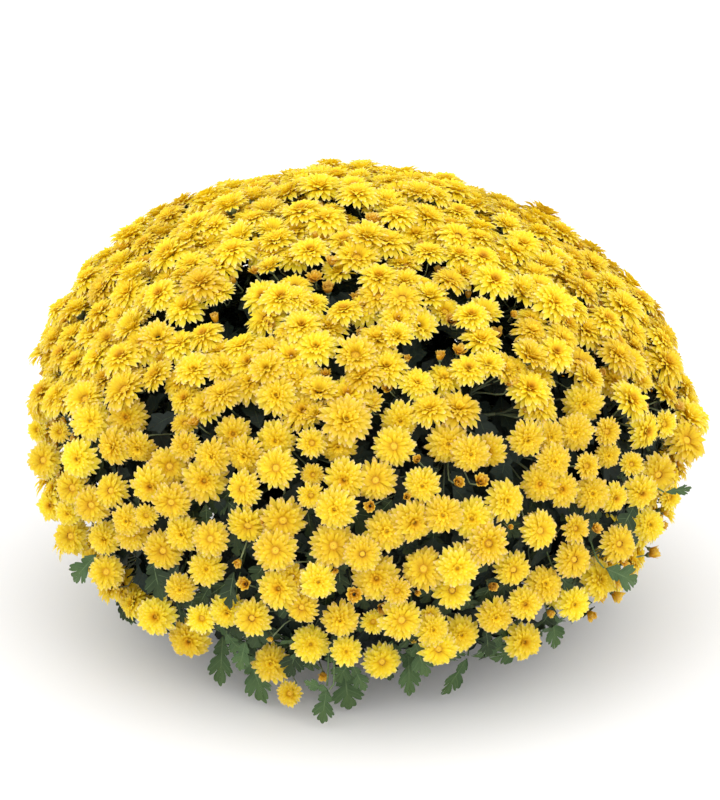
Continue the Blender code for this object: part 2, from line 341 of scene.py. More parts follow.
# heads that the photograph shows at the front, by pixel, radius in pixels and the look of their middle
namedHeads = {
    "leftOuter": ((73, 536), 19, "ring"),
    "leftOuterNext": ((106, 537), 18, "full"),
    "leftUpper": ((134, 533), 18, "full"),
    "leftLow": ((107, 572), 17, "ring"),
    "leftLowNext": ((128, 520), 16, "full"),
    "leftLowest": ((137, 603), 18, "full"),
    "leftLowestNext": ((157, 616), 20, "full"),
    "leftSingle": ((181, 588), 15, "full"),
    "leftInner": ((164, 549), 19, "ring"),
    "leftInnerUpper": ((184, 533), 18, "full"),
    "leftInnerNext": ((211, 539), 17, "ring"),
    "leftInnerLow": ((207, 568), 18, "full"),
    "leftBig": ((190, 638), 21, "full"),
    "leftBigAbove": ((203, 617), 15, "half"),
    "midLeft": ((228, 610), 18, "full"),
    "midLeftNext": ((253, 617), 18, "ring"),
    "midLeftUpper": ((280, 588), 21, "full"),
    "midLeftBehind": ((293, 576), 14, "half"),
    "midUpper": ((318, 580), 18, "full"),
    "midUpperLow": ((303, 606), 16, "ring"),
    "midClosed": ((340, 618), 18, "full"),
    "midSmall": ((373, 621), 12, "half"),
    "midCrown": ((377, 577), 22, "full"),
    "midOrange": ((397, 590), 13, "half"),
    "midRight": ((400, 619), 20, "ring"),
    "midRightSmall": ((429, 614), 10, "half"),
    "lowTilted": ((310, 644), 18, "full"),
    "lowMiddle": ((346, 651), 15, "full"),
    "lowStar": ((381, 660), 18, "ring"),
    "lowLeft": ((272, 663), 19, "full"),
    "lowest": ((291, 693), 13, "half"),
    "rightCrown": ((424, 569), 20, "ring"),
    "rightCrownNext": ((457, 566), 20, "full"),
    "rightCrownLow": ((452, 590), 18, "ring"),
    "rightBehind": ((432, 629), 16, "full"),
    "rightRound": ((460, 633), 19, "full"),
    "rightLow": ((438, 647), 18, "ring"),
    "rightClosed": ((495, 615), 18, "full"),
    "rightInner": ((524, 603), 17, "full"),
    "rightInnerUpper": ((543, 585), 19, "full"),
    "rightStar": ((512, 568), 17, "ring"),
    "rightTilted": ((522, 641), 19, "full"),
    "rightOuterLow": ((573, 603), 17, "full"),
    "rightOuter": ((597, 580), 20, "full"),
    "rightOuterUpper": ((572, 559), 18, "ring"),
    "upperLeft": ((249, 522), 20, "ring"),
    "upperLeftNext": ((283, 518), 21, "ring"),
    "upperLeftLow": ((275, 550), 20, "ring"),
    "upperMiddle": ((336, 508), 20, "full"),
    "upperMiddleLow": ((333, 545), 21, "ring"),
    "upperMiddleNext": ((362, 553), 17, "ring"),
    "upperRight": ((386, 530), 20, "full"),
    "upperRightNext": ((412, 520), 21, "full"),
    "upperRightOuter": ((443, 514), 19, "full"),
    "sideUpper": ((472, 518), 20, "full"),
    "sideMiddle": ((488, 543), 19, "half"),
    "sideMiddleLow": ((466, 558), 18, "full"),
    "sideCrown": ((504, 501), 20, "full"),
    "daisy": ((538, 530), 18, "ring"),
    "sideSmall": ((574, 528), 14, "half"),
    "sideOuter": ((617, 543), 18, "ring"),
    "farRight": ((648, 525), 17, "full"),
    "farRightEdge": ((667, 497), 13, "half"),
    "bandLeft": ((170, 466), 19, "ring"),
    "bandLeftLow": ((172, 500), 18, "ring"),
    "bandLeftUpper": ((186, 446), 14, "half"),
    "bandLeftBig": ((205, 480), 22, "full"),
    "bandLeftBigAbove": ((214, 456), 18, "full"),
    "bandOrange": ((234, 433), 17, "full"),
    "bandOrangeLow": ((246, 454), 19, "full"),
    "bandLeftRing": ((245, 488), 17, "ring"),
    "bandMidLeft": ((277, 440), 19, "full"),
    "bandMidLeftLow": ((277, 468), 19, "ring"),
    "bandMidHalf": ((312, 443), 14, "half"),
    "bandMidSmall": ((314, 475), 11, "half"),
    "bandMidSmallLow": ((311, 494), 13, "half"),
    "bandMid": ((338, 444), 18, "full"),
    "bandMidLow": ((346, 478), 20, "full"),
    "bandMidRing": ((376, 480), 19, "ring"),
    "bandMidUpper": ((394, 446), 19, "ring"),
    "bandMidTop": ((400, 419), 18, "full"),
    "bandTilted": ((423, 484), 17, "full"),
    "bandRight": ((447, 443), 20, "full"),
    "bandRightNext": ((470, 453), 18, "full"),
    "bandRightOuter": ((489, 450), 17, "full"),
    "rightTop": ((583, 402), 20, "full"),
    "rightUpper": ((526, 438), 18, "full"),
    "rightUpperNext": ((549, 437), 16, "full"),
    "rightWide": ((575, 432), 18, "full"),
    "rightNarrow": ((605, 431), 14, "half"),
    "rightNarrowLow": ((607, 455), 13, "full"),
    "rightBroad": ((642, 430), 19, "full"),
    "rightBroadNext": ((662, 424), 14, "half"),
    "rightEdgeBig": ((684, 442), 22, "ring"),
    "rightRoundUpper": ((553, 461), 17, "full"),
    "rightOrange": ((585, 466), 13, "half"),
    "rightOrangeFar": ((631, 465), 12, "half"),
    "rightRing": ((656, 473), 20, "ring"),
    "rightLowInner": ((540, 483), 18, "full"),
    "rightLowNext": ((561, 489), 17, "full"),
    "rightLowWide": ((591, 493), 18, "full"),
    "rightLowSmall": ((613, 497), 15, "full"),
    "rightLowFar": ((640, 491), 17, "full"),
    "leftEdgeTop": ((41, 407), 16, "full"),
    "leftEdgeOrange": ((40, 430), 12, "half"),
    "leftEdgeSmall": ((61, 431), 11, "half"),
    "leftEdgeRing": ((45, 460), 18, "ring"),
    "leftTop": ((92, 421), 20, "full"),
    "leftTopWide": ((128, 417), 20, "full"),
    "leftRound": ((116, 446), 19, "full"),
    "leftRoundNext": ((139, 446), 17, "full"),
    "leftBroad": ((80, 458), 20, "full"),
    "leftRing": ((75, 487), 19, "ring"),
    "leftSpeck": ((93, 504), 18, "ring"),
    "leftSpeckNext": ((113, 491), 17, "ring"),
    "leftEdgeLow": ((53, 505), 16, "full"),
    "leftLowSpeck": ((69, 512), 14, "full"),
    "leftLowSmall": ((147, 514), 12, "half"),
    "leftWide": ((152, 484), 20, "full"),
}
middles = {"ring": (0.96, False), "full": (0.96, True), "half": (0.62, False)}  # openness, and closed over

# and buds, by pixel, radius in pixels and openness
namedBuds = {
    "orange": ((240, 560), 9, 0.25),
    "cup": ((246, 584), 9, 0.50),
    "brown": ((354, 594), 10, 0.55),
    "lowCup": ((323, 673), 8, 0.45),
    "lowSmall": ((272, 637), 5, 0.30),
    "tiny": ((290, 563), 5, 0.25),
    "gap": ((335, 569), 5, 0.35),
    "green": ((416, 592), 5, 0.40),
    "bright": ((490, 585), 10, 0.25),
    "sideTiny": ((509, 527), 5, 0.30),
    "upper": ((371, 506), 8, 0.50),
    "side": ((593, 529), 9, 0.45),
    "bandBright": ((457, 483), 10, 0.30),
    "bandDull": ((480, 483), 10, 0.45),
    "bandSmall": ((420, 461), 7, 0.40),
    "bandLeft": ((250, 504), 6, 0.30),
    "bandNext": ((407, 497), 6, 0.40),
}

headPixels, headSizes, headLooks = zip(*namedHeads.values())
budPixels, budSizes, budOpenness = zip(*namedBuds.values())

# dark openings between the heads, by pixel and radius in pixels
openings = {
    "topA": ((316, 200), 3.5),
    "topB": ((380, 214), 3.8),
    "topC": ((311, 234), 3.5),
    "topD": ((489, 226), 3.5),
    "topE": ((401, 178), 3.0),
    "topF": ((522, 280), 3.5),
    "topG": ((595, 297), 3.5),
    "topH": ((245, 284), 3.5),
    "domeA": ((262, 261), 4.5),
    "domeB": ((317, 269), 4.0),
    "domeC": ((356, 284), 7.0),
    "domeD": ((392, 262), 4.5),
    "domeE": ((438, 271), 4.5),
    "domeF": ((484, 298), 4.5),
    "domeG": ((517, 309), 7.5),
    "domeH": ((239, 302), 4.0),
    "domeI": ((277, 333), 2.0),
    "domeJ": ((378, 322), 2.5),
    "domeK": ((462, 328), 2.5),
    "leftA": ((163, 318), 5.0),
    "leftB": ((203, 314), 4.0),
    "leftC": ((237, 330), 5.1),
    "leftD": ((193, 355), 4.5),
    "leftE": ((113, 357), 4.0),
    "leftF": ((110, 409), 4.5),
    "leftG": ((155, 397), 3.5),
    "leftH": ((164, 422), 4.5),
    "midA": ((347, 343), 6.1),
    "midB": ((366, 334), 4.0),
    "midC": ((431, 350), 7.8),
    "midD": ((450, 343), 5.5),
    "midE": ((221, 424), 6.0),
    "midG": ((254, 409), 5.2),
    "midH": ((285, 421), 5.1),
    "midI": ((298, 434), 6.4),
    "midJ": ((392, 391), 4.5),
    "midK": ((495, 401), 7.0),
    "midL": ((517, 409), 5.0),
    "midM": ((329, 372), 2.5),
    "midN": ((446, 396), 3.0),
    "midO": ((490, 425), 4.0),
    "rightA": ((511, 341), 4.5),
    "rightB": ((592, 354), 4.5),
    "rightC": ((569, 383), 7.0),
    "rightD": ((606, 374), 5.1),
    "rightE": ((567, 411), 5.5),
    "rightF": ((613, 413), 6.5),
    "rightG": ((653, 411), 6.5),
}


def spiralDirections(count):
    index = np.arange(count)
    height = 1 - (1 + math.sin(math.radians(mound["skirtAngle"]))) * (index + 0.5) / count
    flat = np.sqrt(1 - height**2)
    turn = index * goldenAngle
    return np.stack([flat * np.cos(turn), flat * np.sin(turn), height], axis=1)


def thinned(points, closest, candidates, taken=()):
    # takes candidates in turn, each clear of those already taken
    kept = list(taken)
    for index in candidates:
        if not kept or np.min(np.linalg.norm(points[kept] - points[index], axis=1)) > closest[index]:
            kept.append(index)
    return kept[len(taken):]


def inNamedRows(directions):
    # where the camera sees these directions among the named heads
    pixels = pixelsOf(surfaceAt(directions))
    line = np.transpose(list(heads["namedBelow"].values()))
    isLow = pixels[:, 1] > np.interp(pixels[:, 0], *line)
    return isLow & (normalAt(directions) @ towardsCamera() > heads["namedFacing"])


def headDirections():
    # heads are put down one by one, clear of the openings, and smaller ones fill in between
    random = np.random.default_rng(heads["placeSeed"])
    named = np.array([directionAt(pixel, heads["namedDepth"]) for pixel in headPixels])
    tries = spiralDirections(heads["tries"])
    tries = np.concatenate([named, tries[random.permutation(len(tries))]])
    points = surfaceAt(tries)
    closest = byHeight(heads["closest"], tries) * random.uniform(*heads["closestSpread"], len(tries))
    free = tries[:, 2] > -math.sin(math.radians(mound["skirtAngle"] - heads["skirtMargin"]))
    straight, turned = heads["openingSize"]
    for pixel, radius in openings.values():
        direction = directionAt(pixel, heads["openingDepth"])[None]
        aslant = 1 - (normalAt(direction) @ towardsCamera())[0]
        size = radius * heads["perPixel"] * (straight + turned * aslant)
        clear = size + heads["radius"] * heads["openingClear"]
        free &= np.linalg.norm(points - surfaceAt(direction), axis=1) > clear
    free &= ~inNamedRows(tries)
    namedIndex = list(range(len(named)))
    kept = namedIndex + thinned(points, closest, np.flatnonzero(free), namedIndex)
    gap = distances(points, points[kept]).min(axis=1)
    between = free & (gap > heads["smallGap"] * closest) & (tries[:, 2] > heads["smallFrom"])
    smallClosest = np.full(len(points), heads["smallClosest"])
    small = thinned(points, smallClosest, np.flatnonzero(between))[: heads["small"]]
    return tries[kept], tries[small]


def sprayCentres():
    boxes = [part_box(name) for name in sprayNames]
    return np.array([(low + high) / 2 for low, high in boxes])


tipPoints = 8  # of a stem's mesh, furthest from the pot, that make up its end


def stemTips():
    # the end of each CAD stem, which its shoots grow from
    tips = []
    for number in range(1, len(sprayNames) + 1):
        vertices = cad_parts[f"stem_{number:02d}"].data.vertices
        points = np.array([vertex.co for vertex in vertices])
        lengths = np.linalg.norm(points - upward * points[:, 2].min(), axis=1)
        tips.append(points[np.argsort(lengths)[-tipPoints:]].mean(axis=0))
    return np.array(tips)


def groupHeads(directions, groupCount):
    # neighbours are gathered round groupCount centres
    centres = [directions[0]]
    for _ in range(groupCount - 1):
        nearest = np.max(directions @ np.array(centres).T, axis=1)
        centres.append(directions[np.argmin(nearest)])
    centres = np.array(centres)
    for _ in range(heads["groupRounds"]):
        group = np.argmax(directions @ centres.T, axis=1)
        centres = unit(np.array([directions[group == g].mean(axis=0) for g in range(groupCount)]))
    return np.argmax(directions @ centres.T, axis=1), centres


def depthSteps(points, random):
    # each head in turn takes the step that differs most from those of its neighbours
    steps = np.array(heads["depthSteps"])
    chosen = np.full(len(points), -1.0)
    for index in random.permutation(len(points)):
        near = (np.linalg.norm(points - points[index], axis=1) < heads["stepReach"]) & (chosen >= 0)
        if near.any():
            apart = np.abs(steps[:, None] - chosen[near][None]).min(axis=1)
        else:
            apart = np.ones(len(steps))
        chosen[index] = steps[np.argmax(apart + random.uniform(0, heads["stepChance"], len(steps)))]
    return chosen


def placesBehind():
    # right behind named heads at the sides, where the camera sees no head but the sides would show a hollow
    places = []
    for pixel, size in zip(headPixels, headSizes):
        place = surfaceAt(directionAt(pixel, heads["namedDepth"])[None], heads["namedDepth"])[0]
        if size > heads["behindSize"] and abs(place[0]) > heads["behindFrom"]:
            places.append(seenAt(pixel, place, heads["leastHeight"]) + rayAt(pixel) * heads["behind"])
    return np.array(places)


def groupOnShoots(directions):
    # the spray that carries each head, its shoot, and each shoot's direction and spray
    points = surfaceAt(directions, heads["sprayDepth"])
    spray = distances(points, sprayCentres()).argmin(axis=1)
    shoot = np.zeros(len(directions), int)
    shootDirections = []
    shootSprays = []
    for number in range(len(sprayNames)):
        here = np.flatnonzero(spray == number)
        groupCount = max(1, round(len(here) / heads["shootSize"]))
        group, centres = groupHeads(directions[here], groupCount)
        shoot[here] = group + len(shootDirections)
        shootDirections.extend(centres)
        shootSprays.extend([number] * groupCount)
    return spray, shoot, np.array(shootDirections), np.array(shootSprays)


def headDepths(directions, away, shoot, shootCount, isNamed, isSmall, random):
    # from the mound's surface to each head's foot
    offset = np.clip(np.linalg.norm(away, axis=1), 0, 1)
    depth = byHeight(heads["depth"], directions) + heads["domeDrop"] * offset**2
    depth = depth + depthSteps(surfaceAt(directions), random) + isSmall * heads["smallDeeper"]
    depth = depth + random.uniform(-1, 1, shootCount)[shoot] * heads["lump"]
    for pixel, reach, height in heads["swells"].values():
        apart = np.linalg.norm(directions - directionAt(pixel), axis=1)
        depth = depth - height * np.exp(-((apart / reach) ** 2))
    depth[isNamed] = heads["namedFoot"] + depthSteps(surfaceAt(directions[isNamed]), random)
    return depth


def headFacings(directions, away, isNamed, random):
    lift = byHeight(heads["lift"], directions)[:, None]
    facing = normalAt(directions) + upward * lift + away * heads["spread"]
    facing[isNamed] = unit(directions[isNamed] * (1, 1, 0)) * heads["namedTurn"] + towardsCamera()
    tilt = np.where(isNamed, heads["namedTilt"], heads["tiltSpread"])[:, None]
    return unit(facing + random.normal(0, 1, facing.shape) * tilt)


def headShapes(directions, isNamed, isSmall, isBehind, random):
    # how open each head is, its radius, and whether its inner petals close over the heart
    count = len(directions)
    openness = random.uniform(*heads["openness"], count)
    half = random.random(count) < heads["halfOpen"] + heads["smallHalfOpen"] * isSmall
    openness[half] = random.uniform(*heads["halfOpenness"], half.sum())
    radius = heads["radius"] + random.normal(0, heads["radiusSpread"], count)
    radius = radius * np.interp(openness, *np.transpose(heads["sizes"]))
    radius = np.where(isSmall, random.uniform(*heads["smallRadius"], count), radius)
    full = random.random(count) < byHeight(heads["full"], directions)
    radius[isBehind] = heads["behindRadius"]
    radius[isNamed] = np.array(headSizes) * heads["perPixel"]
    openness[isNamed] = [middles[look][0] for look in headLooks]
    full[isNamed] = [middles[look][1] for look in headLooks]
    return {"openness": openness, "full": full, "radius": radius}


def layOutHeads():
    # the named heads come first, then those laid out by rule, small ones, and those behind named ones
    random = np.random.default_rng(heads["lookSeed"])
    large, small = headDirections()
    behind = placesBehind()
    directions = np.concatenate([large, small, unit(behind - upward * mound["level"])])
    index = np.arange(len(directions))
    isNamed = index < len(namedHeads)
    isBehind = index >= len(large) + len(small)
    isSmall = (index >= len(large)) & ~isBehind
    spray, shoot, shootDirections, shootSprays = groupOnShoots(directions)
    gather = np.where(isNamed, 0, byHeight(heads["gather"], directions))[:, None]
    away = directions - shootDirections[shoot]
    directions = unit(directions - away * gather)
    away = away * (1 - gather) / heads["shootReach"]
    depth = headDepths(directions, away, shoot, len(shootDirections), isNamed, isSmall, random)
    for index, pixel in enumerate(headPixels):
        directions[index] = directionAt(pixel, depth[index])
    places = surfaceAt(directions, depth)
    for index, pixel in enumerate(headPixels):
        places[index] = seenAt(pixel, places[index], heads["leastHeight"])
    places[isBehind] = behind
    facing = headFacings(directions, away, isNamed, random)
    group = headShapes(directions, isNamed, isSmall, isBehind, random)
    group.update(places=places, facing=facing, spray=spray, shoot=shoot)
    group.update(shootDirections=shootDirections, shootSprays=shootSprays)
    return group


layout = layOutHeads()
print("heads laid out:", len(layout["places"]), "on", len(layout["shootDirections"]), "shoots")


# buds: sizes in metres, heights are those of directions from the mound's middle
buds = {
    "seed": 23,
    "tries": 5000,
    "most": 230,
    "lowest": -0.48,
    "amongNamed": 0.06,  # share of them that is kept among the named heads
    "fromHeads": 0.0165,
    "closest": 0.018,
    "middleDepth": 0.012,
    "namedDepth": 0.014,
    "depth": (0.014, 0.032),
    "lift": 0.4,
    "tiltSpread": 0.25,
    "openness": (0.10, 0.66),
    "radius": (0.0058, 0.0120),
}


def layOutBuds():
    # small buds stand in the spaces between the heads, some a little deeper
    random = np.random.default_rng(buds["seed"])
    tries = spiralDirections(buds["tries"])[random.permutation(buds["tries"])]
    tries = tries[~inNamedRows(tries) | (random.random(len(tries)) < buds["amongNamed"])]
    tries = tries[tries[:, 2] > buds["lowest"]]
    points = surfaceAt(tries, buds["middleDepth"])
    gap = distances(points, layout["places"]).min(axis=1)
    isClear = np.flatnonzero(gap > buds["fromHeads"])
    kept = thinned(points, np.full(len(points), buds["closest"]), isClear)[: buds["most"]]
    named = np.array([directionAt(pixel, buds["namedDepth"]) for pixel in budPixels])
    isNamed = slice(0, len(named))
    directions = np.concatenate([named, tries[kept]])
    count = len(directions)
    depth = random.uniform(*buds["depth"], count)
    depth[isNamed] = buds["namedDepth"]
    places = surfaceAt(directions, depth)
    nearest = distances(places, layout["places"]).argmin(axis=1)
    tilt = random.normal(0, buds["tiltSpread"], (count, 3))
    openness = random.uniform(*buds["openness"], count)
    radius = random.uniform(*buds["radius"], count)
    openness[isNamed] = budOpenness
    radius[isNamed] = np.array(budSizes) * heads["perPixel"]
    return {
        "places": places,
        "facing": unit(normalAt(directions) + upward * buds["lift"] + tilt),
        "openness": openness,
        "full": np.zeros(count, bool),
        "radius": radius,
        "spray": layout["spray"][nearest],
        "shoot": layout["shoot"][nearest],
    }


budLayout = layOutBuds()
print("buds laid out:", len(budLayout["places"]))

# petals: sizes are shares of the head's radius, angles in degrees above the head's own plane. A foot has two
# sizes: on heads whose inner petals close over the heart, and on open ones
petal = {
    "seed": 2100,
    "bands": 24,  # strips of colour: those of the rings, the hearts and the buds
    "rings": [
        {
            "petals": (24, 27), "foot": (0.15, 0.16), "height": 0.12, "length": 0.95, "width": 0.255,
            "rise": 18, "fall": -46, "cup": 0.16, "leastOpen": 0.0, "band": 0, "fullOnly": False,
            "rows": (0, 0.48, 0.80, 1), "widths": (0.50, 0.95, 0.92, 0.22), "columns": (-1, 0, 1),
        },
        {
            "petals": (20, 22), "foot": (0.15, 0.18), "height": 0.18, "length": 0.80, "width": 0.245,
            "rise": 30, "fall": -30, "cup": 0.20, "leastOpen": 0.0, "band": 4, "fullOnly": False,
            "rows": (0, 0.72, 1), "widths": (0.58, 1.0, 0.26), "columns": (-1, 0, 1),
        },
        {
            "petals": (18, 20), "foot": (0.13, 0.22), "height": 0.24, "length": 0.62, "width": 0.215,
            "rise": 44, "fall": -22, "cup": 0.24, "leastOpen": 0.3, "band": 8, "fullOnly": False,
            "rows": (0, 0.70, 1), "widths": (0.60, 1.0, 0.26), "columns": (-1, 1),
        },
        {
            "petals": (15, 17), "foot": (0.12, 0.20), "height": 0.29, "length": 0.46, "width": 0.175,
            "rise": 54, "fall": -10, "cup": 0.26, "leastOpen": 0.5, "band": 12, "fullOnly": False,
            "rows": (0, 0.68, 1), "widths": (0.6, 1, 0.30), "columns": (-1, 1),
        },
        {
            "petals": (11, 13), "foot": (0.08, 0.20), "height": 0.31, "length": 0.30, "width": 0.14,
            "rise": 66, "fall": 12, "cup": 0.30, "leastOpen": 0.7, "band": 18, "fullOnly": True,
            "rows": (0, 0.65, 1), "widths": (0.6, 1, 0.40), "columns": (-1, 1),
        },
    ],
    "budRings": [
        {
            "petals": (9, 11), "foot": (0.22, 0.22), "height": 0.02, "length": 0.92, "width": 0.50,
            "rise": 26, "fall": 8, "cup": 0.36, "leastOpen": 0.0, "band": 20, "fullOnly": False,
            "rows": (0, 0.45, 0.84, 1), "widths": (0.50, 1, 0.80, 0.18), "columns": (-1, 0, 1),
        },
        {
            "petals": (7, 8), "foot": (0.16, 0.16), "height": 0.12, "length": 0.66, "width": 0.40,
            "rise": 45, "fall": 20, "cup": 0.36, "leastOpen": 0.0, "band": 20, "fullOnly": False,
            "rows": (0, 0.60, 1), "widths": (0.5, 1, 0.25), "columns": (-1, 0, 1),
        },
    ],
    "tones": 4,  # strips of each ring, from dull and orange to bright; by height and side they are painted shade and painted light, and otherwise they differ at random
    # painted shade: heads lower down are painted duller and more orange, apart from the lowest, which are
    # painted brighter where the light reaches them from below, and the top ones are brightest
    "paintedShadeHeights": ((0.10, 1.2), (0.20, 0.0), (0.29, 0.0), (0.44, 3.0)),
    "paintedLightSides": ((0.22, 0.0), (0.31, 1.8)),  # painted light: and those far to the sides are painted brighter again
    "toneSpread": 0.8,
    "toneChance": 0.3,  # share of single petals that are brighter than their head
    "dull": (0.845, 0.735, 0.72),  # colour of the dullest tone, as a share of the brightest: painted shade on low heads, random tone on others
    "speckShare": 0.4,  # share of closed heads with orange specks in the middle
    "closing": 62,  # degrees that a closed head's petals stand up more
    "curlIn": 88,  # and their tips
    "fullCurl": (-4, 0, 6, 12, 20),  # degrees that each ring's tips curl in on a full head
    "ringTurn": 0.7,  # radians from one ring to the next
    "zigzag": 0.02,  # every second petal sits higher by this
    # how much petals differ: as shares, in degrees for rise and fall, and in radians for twist
    "turnSpread": 0.28,
    "lengthSpread": (0.89, 1.09),
    "widthSpread": (0.84, 1.12),
    "riseSpread": 5,
    "fallSpread": 8,
    "cupSpread": (0.5, 1.4),
    "swaySpread": 0.07,
    "twistSpread": 0.18,
    "notches": (-0.05, 0.0, 0.03),
    "dullness": 0.55,
    "shine": 0.25,
    "glow": 0.40,  # share of the light that shines through
    "streaks": (2.5, 130, 1),  # how close they are along a petal and across it
    "streakShades": (0.86, 1.12),
    "relief": (0.25, 0.0004),  # strength, and height in metres
}

heart = {
    "radius": (0.20, 0.28),
    "fullRadius": 0.09,
    "height": 0.22,
    "dome": 0.06,
    "sides": 8,
    "band": 16,
    "rings": (0.06, 0.6, 1.0),
    "leastOpen": 0.5,  # openness from which a head shows its heart
    "florets": 9,
    "floretsOpen": 0.80,  # and its florets
    "floretReach": 0.92,
    "floretSides": 3,
    "floretRims": (0.044, 0.030),
    "floretHeights": (-0.03, 0.07),
    "dullness": 0.7,
    "streaks": (9, 260, 1),
    "streakShades": (0.45, 1.35),
    "relief": (0.5, 0.0005),
}


def petalGrids(place, axes, ring, p):
    # one grid for each petal: p holds arrays with a value for each of them
    t = np.array(ring["rows"])
    half = np.array(ring["widths"])
    angle = p["rise"][:, None] + (p["fall"] - p["rise"])[:, None] * t
    middle = (angle[:, 1:] + angle[:, :-1]) / 2
    step = np.diff(t)
    zero = np.zeros((len(middle), 1))
    out = np.concatenate([zero, np.cumsum(np.cos(middle) * step, axis=1)], axis=1) * p["length"][:, None]
    high = np.concatenate([zero, np.cumsum(np.sin(middle) * step, axis=1)], axis=1) * p["length"][:, None]
    out = (out + p["foot"][:, None])[:, :, None]
    high = (high + p["height"][:, None])[:, :, None]
    s = np.array(ring["columns"])
    wide = (half * p["width"][:, None] / 2)[:, :, None]
    lateral = s * wide * np.cos(p["twist"])[:, None, None]
    lateral = lateral + (p["sway"][:, None] * t**2 * p["length"][:, None])[:, :, None]
    lift = s**2 * wide * p["cup"][:, None, None] + s * wide * np.sin(p["twist"])[:, None, None]
    notch = p["notch"][:, None, None] * (t == 1)[None, :, None] * (1 - np.abs(s))
    lean = angle[:, :, None]
    out = out - np.sin(lean) * lift + np.cos(lean) * notch * p["length"][:, None, None]
    high = high + np.cos(lean) * lift + np.sin(lean) * notch * p["length"][:, None, None]
    turn = p["turn"][:, None, None]
    x = out * np.cos(turn) - lateral * np.sin(turn)
    y = out * np.sin(turn) + lateral * np.cos(turn)
    local = np.stack([x, y, high], axis=-1)
    return place[:, None, None] + np.einsum("nrck,nkj->nrcj", local, axes)


def headAxes(facing, random):
    # rows are two directions across each head, turned at random, and the way it faces
    turn = random.uniform(0, math.tau, len(facing))[:, None]
    side = unit(np.cross(facing, headAside))
    other = np.cross(facing, side)
    first = side * np.cos(turn) + other * np.sin(turn)
    return np.stack([first, np.cross(facing, first), facing], axis=1)


def tonesOf(group, random, isBud):
    # how bright each head is, from 0 to the last tone: painted shade and light by height and side, with a
    # random spread; buds take random tones only
    count = len(group["radius"])
    tone = np.interp(group["places"][:, 2], *np.transpose(petal["paintedShadeHeights"]))
    tone = tone + random.normal(0, petal["toneSpread"], count)
    tone = tone + np.interp(np.abs(group["places"][:, 0]), *np.transpose(petal["paintedLightSides"]))
    tone = np.clip(np.round(tone), 0, petal["tones"] - 1).astype(int)
    return random.integers(0, petal["tones"], count) if isBud else tone


def addPetals(build, group, axes, random, rings):
    count = len(group["radius"])
    tone = tonesOf(group, random, rings is petal["budRings"])
    isPale = (random.random(count) > petal["speckShare"]).astype(int)
    for number, ring in enumerate(rings):
        perHead = random.integers(ring["petals"][0], ring["petals"][1] + 1, count)
        shown = (group["openness"] >= ring["leastOpen"]) & (group["full"] | (not ring["fullOnly"]))
        perHead = np.where(shown, perHead, 0)
        head = np.repeat(np.arange(count), perHead)
        first = np.cumsum(perHead) - perHead
        index = np.arange(len(head)) - first[head]
        total = len(head)
        if total == 0:
            continue
        radius = group["radius"][head]
        full = group["full"][head]
        closed = 1 - group["openness"][head]
        curl = petal["fullCurl"][number] * full
        sway = petal["turnSpread"]
        turn = (index + random.uniform(-sway, sway, total)) / perHead[head] * math.tau
        foot = np.where(full, *ring["foot"])
        rise = ring["rise"] + petal["closing"] * closed
        fall = ring["fall"] + petal["curlIn"] * closed + curl
        p = {
            "turn": turn + number * petal["ringTurn"],
            "foot": foot * radius,
            "height": (ring["height"] + petal["zigzag"] * (index % 2)) * radius,
            "length": ring["length"] * radius * random.uniform(*petal["lengthSpread"], total),
            "width": ring["width"] * radius * random.uniform(*petal["widthSpread"], total),
            "rise": np.radians(rise + random.normal(0, petal["riseSpread"], total)),
            "fall": np.radians(fall + random.normal(0, petal["fallSpread"], total)),
            "cup": ring["cup"] * random.uniform(*petal["cupSpread"], total),
            "sway": random.normal(0, petal["swaySpread"], total),
            "twist": random.normal(0, petal["twistSpread"], total),
            "notch": random.choice(petal["notches"], total),
        }
        grids = petalGrids(group["places"][head], axes[head], ring, p)
        isBrighter = random.random(total) < petal["toneChance"]
        bandOf = ring["band"] + np.minimum(tone[head] + isBrighter, petal["tones"] - 1)
        if ring["fullOnly"]:
            bandOf = ring["band"] + isPale[head]
        addGrids(build, grids, bandOf, petal["bands"], 0, ring["rows"])


def onHeads(local, group, axes, owner):
    # grids in shares of a head's radius, moved to the heads that own them
    local = local * group["radius"][owner][:, None, None, None]
    return group["places"][owner][:, None, None] + np.einsum("nrck,nkj->nrcj", local, axes[owner])


def addHearts(build, group, axes, random):
    # the disc in the middle of an open head, and its tiny florets
    shown = np.flatnonzero(group["openness"] > heart["leastOpen"])
    width = random.uniform(*heart["radius"], len(group["radius"]))
    width = np.where(group["full"], heart["fullRadius"], width)
    shares = np.array(heart["rings"])
    turn = turnsOf(heart["sides"])
    reach = shares[:, None] * width[shown][:, None, None]
    rise = heart["height"] + heart["dome"] * (1 - shares**2)[:, None]
    local = np.stack([reach * np.cos(turn), reach * np.sin(turn), rise + 0 * reach * turn], axis=-1)
    bands = heart["band"] + 1 * group["full"][shown]
    addGrids(build, onHeads(local, group, axes, shown), bands, petal["bands"], 1, shares, closed=True)
    isOpen = np.flatnonzero((group["openness"] > heart["floretsOpen"]) & ~group["full"])
    turn = turnsOf(heart["florets"])
    centre = np.stack([np.cos(turn), np.sin(turn)], axis=-1)[:, None, None]
    corner = turnsOf(heart["floretSides"])
    rims = np.array(heart["floretRims"])[:, None]
    middle = width[isOpen][:, None, None, None, None] * centre * heart["floretReach"]
    x = middle[..., 0] + rims * np.cos(corner)
    y = middle[..., 1] + rims * np.sin(corner)
    z = heart["height"] + np.array(heart["floretHeights"])[:, None] + 0 * x
    local = np.stack([x, y, z], axis=-1).reshape(-1, *x.shape[2:], 3)
    owner = np.repeat(isOpen, heart["florets"])
    bands = heart["band"] + 2 + random.integers(0, 2, len(owner))
    addGrids(build, onHeads(local, group, axes, owner), bands, petal["bands"], 1, closed=True)


def part(group, chosen):
    keys = ("places", "facing", "openness", "full", "radius", "spray", "shoot")
    return {key: group[key][chosen] for key in keys}
